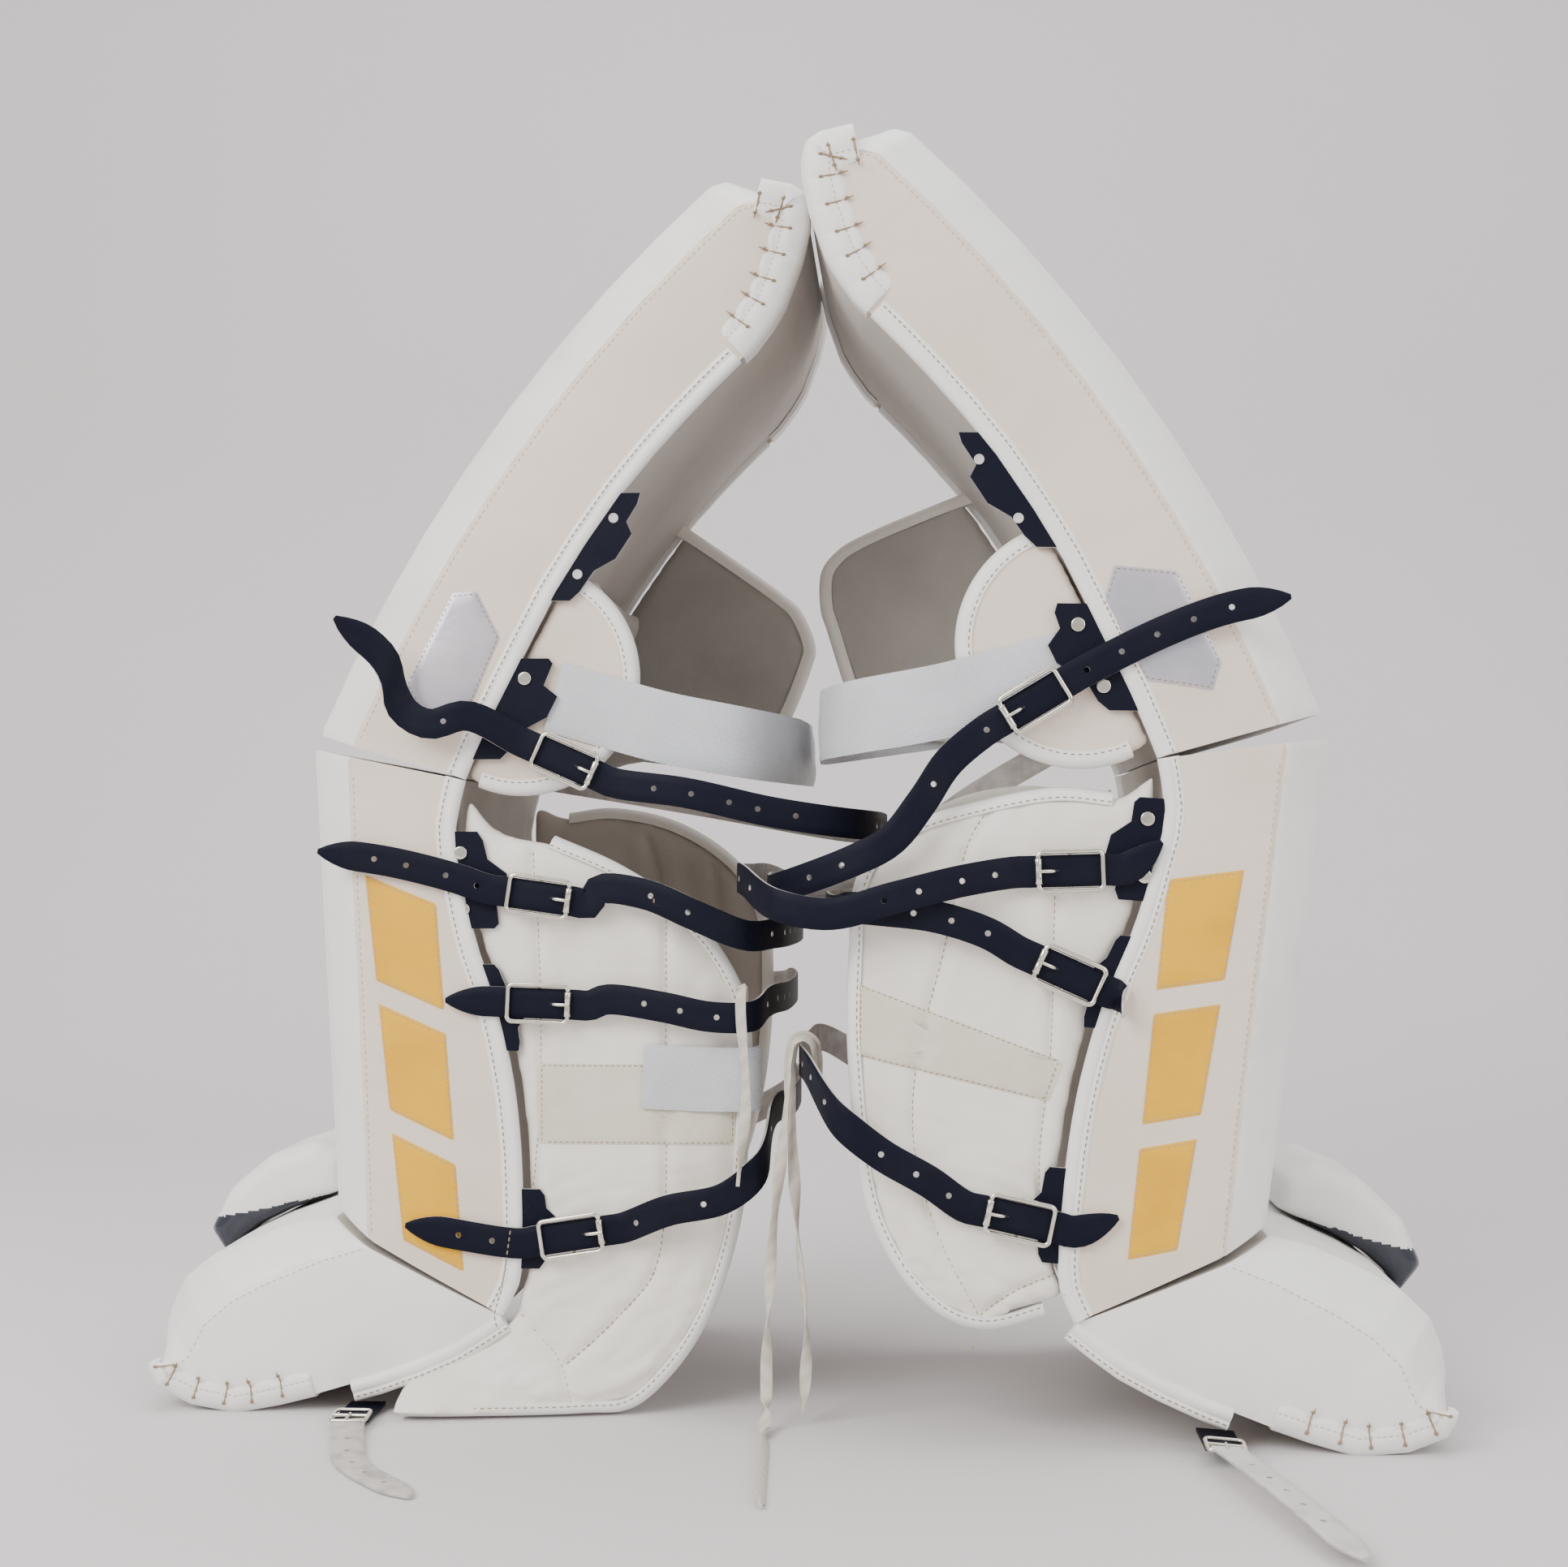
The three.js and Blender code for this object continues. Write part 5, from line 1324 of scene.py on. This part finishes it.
def bandPiece(side, name):
    values = bandShares[name]
    thigh = name == "knee"
    spot = onKnee if thigh else onShin
    route = [(spot(x, z)[0], y, spot(x, z)[1]) for x, y, z in values["route"]]
    path = place(side, curveThrough(route, 110), thigh)
    tangent = unit(np.gradient(path, axis=0))
    up = np.tile([0.0, 0.0, 1.0], (len(path), 1))
    up = unit(up - tangent * np.sum(up * tangent, 1, keepdims=True))
    normal = np.cross(up, tangent) * (-1 if side == "left" else 1)
    half, t = values["wide"] / 2 * mm, 0.0008
    across = np.linspace(-1, 1, 13)
    points, faces = [], []
    for i in range(len(path)):
        slack = math.sin(math.pi * i / (len(path) - 1)) if thigh else 0.25
        front, back = [], []
        for s in across:
            wave = noise.noise(Vector((i / 11, s * 1.3, 3.0 if side == "left" else 8.0))) * 0.0022 * slack
            curl = -0.0012 * s * s * slack
            edge = 0.55 if abs(s) > 0.99 else 1.0
            middle = path[i] + up[i] * half * s + normal[i] * (wave + curl)
            front.append(middle + normal[i] * t * edge)
            back.append(middle - normal[i] * t * edge)
        points += front + back[::-1]
    size = 26
    for i in range(len(path) - 1):
        for k in range(size):
            n = (k + 1) % size
            faces.append((i * size + k, i * size + n, (i + 1) * size + n, (i + 1) * size + k))
    faces += [tuple(range(size)), tuple(range((len(path) - 1) * size, len(path) * size))]
    piece = newPiece(f"{side}_{name}_elastic", points, faces, [elasticWeb], angle=60)
    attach(piece, f"{side}_thigh" if thigh else f"{side}_outer_calf_wing")
    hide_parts(f"{side}_elastic_{name}_band" if thigh else f"{side}_elastic_calf_strap")


bandPiece("left", "knee")
bandPiece("right", "knee")
bandPiece("left", "calf")
print("elastic bands sewn")


# Laces: flat woven cords on the routes of the solids.
laceFlat = {"wide": 7.5 * mm, "thick": 1.7 * mm}
laceRoutes = {
    "left_lace": {"from": (-25.8, -17.2, 250.0),
                  "loop": [(0, 8, -9), (0, 8, 5), (0, 5.6, 14.4), (0, 0, 17.5), (0, -5.6, 14.4), (0, -8, 5),
                           (1, -8.5, -12)],
                  "fall": [(3, -8.5, 0.86), (3, -9.5, 0.76), (1, -14, 0.68), (-1, -16, 0.59)], "lie": []},
    "right_lace": {"from": (12.7, -17.3, 220.3),
                   "loop": [(8, 2, -9), (8, 2, 5), (5.6, 2, 14.4), (0, 2, 17.5), (-5.6, 2, 14.4), (-8, 1, 5),
                            (-8.4, 0, -12)],
                   "fall": [(-7, -1, 0.8), (-3, -3, 0.5), (2, -3, 0.25), (0, -2, 0.03)], "lie": []},
    "right_lace_tail": {"from": (12.7, -17.3, 220.3),
                        "loop": [(8, -6, -9), (8, -6, 5), (5.6, -6, 14.4), (0, -6, 17.5), (-5.6, -6, 14.4),
                                 (-8, -7, 5), (-9, -8, -12)],
                        "fall": [(-12, -9, 0.8), (-19, -10, 0.5), (-22, -11, 0.22), (-22, -15, 0.08),
                                 (-22, -24, 0.028)],
                        "lie": [(-21.5, -40), (-20, -60), (-18, -100), (-16, -140), (-14, -180)]},
}


def laceCloth():
    material = finish("laceCloth", (0.69, 0.63, 0.54), 0.85, bumps=[(1500, 0.8, 3)], sheen=0.2)
    tree = material.node_tree
    shader = tree.nodes["Principled BSDF"]
    uv = tree.nodes.new("ShaderNodeUVMap")
    uv.uv_map = "weave"
    wave = tree.nodes.new("ShaderNodeTexWave")
    wave.bands_direction = "DIAGONAL"
    wave.inputs["Scale"].default_value = 9
    tree.links.new(uv.outputs[0], wave.inputs["Vector"])
    fleck = tree.nodes.new("ShaderNodeTexChecker")
    fleck.inputs["Scale"].default_value = 26
    tree.links.new(uv.outputs[0], fleck.inputs["Vector"])
    ramp = tree.nodes.new("ShaderNodeMapRange")
    ramp.inputs["From Min"].default_value = 0.9
    ramp.inputs["From Max"].default_value = 0.94
    tree.links.new(wave.outputs["Fac"], ramp.inputs["Value"])
    both = tree.nodes.new("ShaderNodeMath")
    both.operation = "MULTIPLY"
    tree.links.new(ramp.outputs[0], both.inputs[0])
    tree.links.new(fleck.outputs["Fac"], both.inputs[1])
    mix = tree.nodes.new("ShaderNodeMix")
    mix.data_type = "RGBA"
    mix.inputs[6].default_value = (0.69, 0.63, 0.54, 1)
    mix.inputs[7].default_value = (0.05, 0.045, 0.05, 1)
    tree.links.new(both.outputs[0], mix.inputs[0])
    tree.links.new(mix.outputs[2], shader.inputs["Base Color"])
    before = shader.inputs["Normal"].links[0].from_socket
    tree.links.new(addBump(tree, wave.outputs["Fac"], 0.3, before), shader.inputs["Normal"])
    return material


laceWeave = laceCloth()


def lacePiece(name):
    values = laceRoutes[name]
    ax, ay, az = values["from"]
    route = [(ax + x, ay + y, az + z) for x, y, z in values["loop"]]
    route += [(ax + x, ay + y, az * share) for x, y, share in values["fall"]]
    route += [(ax + x, ay + y, 2.5) for x, y in values["lie"]]
    path = curveThrough(np.array(route) * mm, 220)
    run = np.linspace(0, lengthOf(path), len(path))
    tangent = unit(np.gradient(path, axis=0))
    base = unit(np.cross(tangent, np.array([0.05, 1.0, 0.1])))
    other = np.cross(tangent, base)
    phase = {"left_lace": 0.4, "right_lace": 0.0, "right_lace_tail": 1.1}[name]
    twist = phase + 2.2 * np.sin(run * 26 + phase) * np.clip((run - 0.06) / 0.08, 0, 1)
    if values["lie"]:
        twist = twist * (1 - np.clip((0.02 - path[:, 2]) / 0.012, 0, 1))
    across = base * np.cos(twist)[:, None] + other * np.sin(twist)[:, None]
    normal = np.cross(across, tangent)
    w, t = laceFlat["wide"] / 2, laceFlat["thick"] / 2
    sections = []
    for r in run:
        end = min(r, run[-1] - r)
        tip = np.clip(end / 0.012, 0.3, 1) if r > run[-1] / 2 else 1.0
        round_ = 1.0 if tip == 1.0 else 1.4
        sections.append([(-w * tip, 0), (-w * 0.8 * tip, -t * 0.8 * round_), (0, -t * round_),
                         (w * 0.8 * tip, -t * 0.8 * round_), (w * tip, 0), (w * 0.8 * tip, t * 0.8 * round_),
                         (0, t * round_), (-w * 0.8 * tip, t * 0.8 * round_)])
    points, faces, bands = sweep(path, across, normal, sections)
    piece = newPiece(name + "_cord", points, faces, [laceWeave], angle=60)
    uv = piece.data.uv_layers.new(name="weave")
    size = 8
    for loop in piece.data.loops:
        i, k = divmod(loop.vertex_index, size)
        uv.data[loop.index].uv = (0.5 + (k if k <= 4 else 8 - k) / 4 * 0.6, run[i] * 60)
    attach(piece, "shins")
    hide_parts(name)
    print(name, "length", round(lengthOf(path), 3))


for name in laceRoutes:
    lacePiece(name)
# Appliques and hook-and-loop bands that follow the surface below.
def applique(name, tree, side, thigh, outline, thick, material, body, stitches=None, rings=9):
    # A thin sewn shape: rings between its middle and its outline, laid on the surface.
    line = evenly(np.array(list(outline) + [outline[0]], float), 97)[:-1]
    middle = line.mean(0)
    flat = [middle + (line - middle) * (r / rings) for r in range(1, rings + 1)]
    everyPoint = np.concatenate([[middle]] + flat)
    base = place(side, [(x, -120, z) for x, z in everyPoint], thigh)
    heights = []
    for p in base:
        hit = tree.ray_cast(Vector(p), Vector((0, 1, 0)))
        heights.append(hit[0].y if hit[0] is not None else np.nan)
    heights = np.array(heights)
    good = ~np.isnan(heights)
    if good.sum() < 0.7 * len(heights):
        print(name, "has no surface under it")
        return None
    heights[~good] = np.interp(np.flatnonzero(~good), np.flatnonzero(good), heights[good])
    front = np.stack([base[:, 0], heights - thick * mm, base[:, 2]], 1)
    back = np.stack([base[:, 0], heights + 0.3 * mm, base[:, 2]], 1)
    count, total = len(line), len(base)
    front[-count:, 1] += thick * 0.55 * mm
    faces = []
    for start in (0, total):
        for k in range(count):
            n = (k + 1) % count
            faces.append((start, start + 1 + k, start + 1 + n))
            for r in range(rings - 1):
                a = start + 1 + r * count
                faces.append((a + k, a + count + k, a + count + n, a + n))
    rim = 1 + (rings - 1) * count
    faces += [(rim + k, rim + (k + 1) % count, total + rim + (k + 1) % count, total + rim + k) for k in range(count)]
    piece = newPiece(name, np.concatenate([front, back]), faces, [material], angle=50)
    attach(piece, body)
    if stitches is not None:
        inner = middle + (line - middle) * 0.955
        path = place(side, [(x, -120, z) for x, z in np.concatenate([inner, inner[:1]])], thigh)
        path = onSurface(surfaceOf(piece), path, 0.1 * mm)
        path = path[np.abs(path[:, 1] - np.median(path[:, 1])) < 0.03]
        row = stitchRow(name + "_stitches", path, 3.6 * mm, (2.2 * mm, 0.6 * mm, 0.4 * mm), stitches,
                        np.tile([0.0, -1.0, 0.0], (len(path), 1)))
        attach(row, body)
    return piece


hexagons = {
    "left": [(-32.8, 454.1), (-17.5, 455.6), (-2.3, 426.1), (-25.1, 372.9), (-45.4, 366.3), (-62.2, 395.7)],
    "right": [(3.0, 450.2), (-34.8, 447.4), (-61, 393.8), (-56, 376.9), (-17.2, 382.1), (9, 428.4)],
}
barRegion = {
    "left": {"top": ((-88.6, 273.9), (-42.9, 273.9)), "foot": ((-60.7, 27.8), (-22.6, 26.3))},
    "right": {"top": ((-80, 271.9), (-35.5, 280.7)), "foot": ((-54.5, 29.2), (-26.9, 39.3))},
}
hookBands = {
    "left": [[(22, 107), (22, 157), (148, 157), (148, 107)]],
    "right": [[(144, 189), (18, 152), (25, 128), (141, 146)]],
}
for side in sides:
    thighTree = surfaceOf(bodies[(side, "thigh")])
    shinTree = surfaceOf(bodies[(side, "shin")])
    applique(f"{side}_silver_panel", thighTree, side, True, hexagons[side], 1.1, silverFoil, f"{side}_thigh",
             thread)
    region = barRegion[side]
    for i, (low, high) in enumerate(((0.03, 0.3), (0.36, 0.63), (0.69, 0.96))):
        edge = lambda k, share: (np.array(region["top"][k]) * (1 - share) + np.array(region["foot"][k]) * share)
        lift = np.array([0.0, 9.0])
        bar = [edge(0, low) + lift, edge(1, low) - lift, edge(1, high) - lift, edge(0, high) + lift]
        applique(f"{side}_gold_bar_{i}", shinTree, side, False, bar, 0.9, goldCloth, "shins", paleThread)
    wingTree = surfaceOf(softPieces[(side, "outer_calf_wing")])
    for i, outline in enumerate(hookBands[side]):
        applique(f"{side}_hook_band_{i}", wingTree, side, False, outline, 1.3, hookLoop,
                 f"{side}_outer_calf_wing", thread)
print("appliques sewn")


# Toe straps: pale leather from under each boot, over the floor.
toeRoutes = {
    "left": [(0, -36, 4.6), (8, -70, 3), (24, -120, 1.6), (72, -182, 1.6)],
    "right": [(0, -36, 6), (-10, -80, 7), (-24, -140, 7), (-42, -215, 4)],
}
for side in sides:
    tab = nodes[f"{side}_toe_tab"]
    corners = unplace(side, meshPoints(tab))
    tabX = (corners[:, 0].min() + corners[:, 0].max()) / 2
    ground = (corners[:, 2].min() + corners[:, 2].max()) / 2 - 3.4
    route = [(tabX + x, y, ground + z) for x, y, z in toeRoutes[side]]
    path = place(side, curveThrough(route, 90))
    run = np.linspace(0, lengthOf(path) / mm, len(path))
    taper = np.clip((run[-1] - run) / strapCut["point"], 0, 1)
    widths = strapCut["wide"] * mm * np.clip(0.16 + 0.84 * np.sin(taper * math.pi / 2) ** 0.85, 0.16, 1)
    across = place(side, [(1, 0, 0)])[0] - place(side, [(0, 0, 0)])[0]
    holes = [int(np.argmin(abs(run - at))) for at in np.arange(40, run[-1] - 30, strapCut["holePitch"])]
    lace = leatherRibbon(f"{side}_toe_strap_leather", path, np.tile(unit(across), (len(path), 1)), 1, widths,
                         strapCut["thick"] * mm, [paleLeather, cutEdge], np.array(holes), 1.8 * mm)
    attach(lace, f"{side}_toe_strap")
    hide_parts(f"{side}_toe_strap")
print("toe straps cut")
# Beige seam stitches of the outer wings.
for side in sides:
    wingTree = surfaceOf(softPieces[(side, "outer_calf_wing")])
    rows = []
    for line in wingSeams[side]:
        path = place(side, [(x, -60, z) for x, z in curveThrough(line, 90)])
        hitPath = onSurface(wingTree, path, -0.2 * mm)
        good = np.abs(hitPath[:, 1] - path[:, 1]) > 1e-6
        if good.sum() < 10:
            continue
        hitPath = hitPath[good]
        rows.append(stitchRow("row", hitPath, 4.0 * mm, (2.6 * mm, 0.8 * mm, 0.6 * mm), thread,
                              np.tile([0.0, -1.0, 0.0], (len(hitPath), 1))))
    if rows:
        seam = joinPieces(f"{side}_outer_calf_wing_seams", rows)
        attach(seam, f"{side}_outer_calf_wing")
print("wing seams stitched")


# Toe strap buckles on the boots.
for side in sides:
    tab = nodes[f"{side}_toe_tab"]
    corners = unplace(side, meshPoints(tab))
    tabX = (corners[:, 0].min() + corners[:, 0].max()) / 2
    ground = (corners[:, 2].min() + corners[:, 2].max()) / 2
    ring = []
    for cx, cy, start in ((11, 9, 0), (-11, 9, 90), (-11, -9, 180), (11, -9, 270)):
        for k in range(6):
            a = math.radians(start + 18 * k)
            ring.append((cx - math.copysign(3, cx) + 3 * math.cos(a), cy - math.copysign(3, cy) + 3 * math.sin(a)))
    shapes = [tube([(tabX + x, -33 + y, ground + 3.4 + 0.12 * y) for x, y in ring], 1.2, 10, True),
              tube([(tabX + x, -33, ground + 3.4) for x in np.linspace(-11, 11, 6)], 1.1, 10),
              tube([(tabX, -33 + y, ground + 4.6 + 0.05 * y) for y in np.linspace(0, -10, 6)], 0.9, 8)]
    points, faces = gather(shapes)
    clasp = newPiece(f"{side}_toe_buckle", place(side, points), faces, [nickel], angle=60)
    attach(clasp, f"{side}_boot")
print("toe buckles bent")
# Floor, backdrop and soft studio light.
def softLight(name, spot, aim, size, power, color=(1, 1, 1)):
    data = bpy.data.lights.new(name, "AREA")
    data.shape = "RECTANGLE"
    data.size, data.size_y = size
    data.energy = power
    data.color = color
    light = bpy.data.objects.new(name, data)
    light.location = spot
    light.rotation_euler = (Vector(aim) - Vector(spot)).to_track_quat("-Z", "Y").to_euler()
    bpy.context.scene.collection.objects.link(light)


studio = {"key": 118, "fill": 40, "top": 52, "world": 0.85}
softLight("keyLight", (-1.9, -2.3, 2.2), (0, 0, 0.35), (2.2, 1.8), studio["key"], (1, 0.985, 0.965))
softLight("fillLight", (2.3, -1.9, 1.6), (0, 0, 0.35), (2.2, 2.0), studio["fill"], (0.97, 0.985, 1))
softLight("topLight", (0, 0.4, 2.9), (0, 0.1, 0), (2.6, 2.2), studio["top"])
world = bpy.data.worlds.new("studioWorld")
world.use_nodes = True
world.node_tree.nodes["Background"].inputs[0].default_value = (0.9, 0.88, 0.87, 1)
world.node_tree.nodes["Background"].inputs[1].default_value = studio["world"]
bpy.context.scene.world = world
backdropPaint = finish("backdropPaint", (0.66, 0.63, 0.635), 0.9, bumps=[(3, 0.02, 2)],
                       spots=[(1.2, (0.68, 0.655, 0.655), 0.4, 0.7)])
sweepLine = [(0.0, -4.0), (0.0, 1.3)]
sweepLine += [(1.3 * 0.0 + 1.2 * (1 - math.cos(a)), 1.3 + 1.2 * math.sin(a)) for a in np.linspace(0.1, math.pi / 2, 16)]
sweepLine += [(5.0, 2.5)]
floorPoints, floorFaces = [], []
for z, y in sweepLine:
    floorPoints += [(-7, y, z), (7, y, z)]
for i in range(len(sweepLine) - 1):
    floorFaces.append((2 * i, 2 * i + 1, 2 * i + 3, 2 * i + 2))
backdrop = newPiece("backdrop", floorPoints, floorFaces, [backdropPaint], angle=60, recalc=False)
print("studio made")
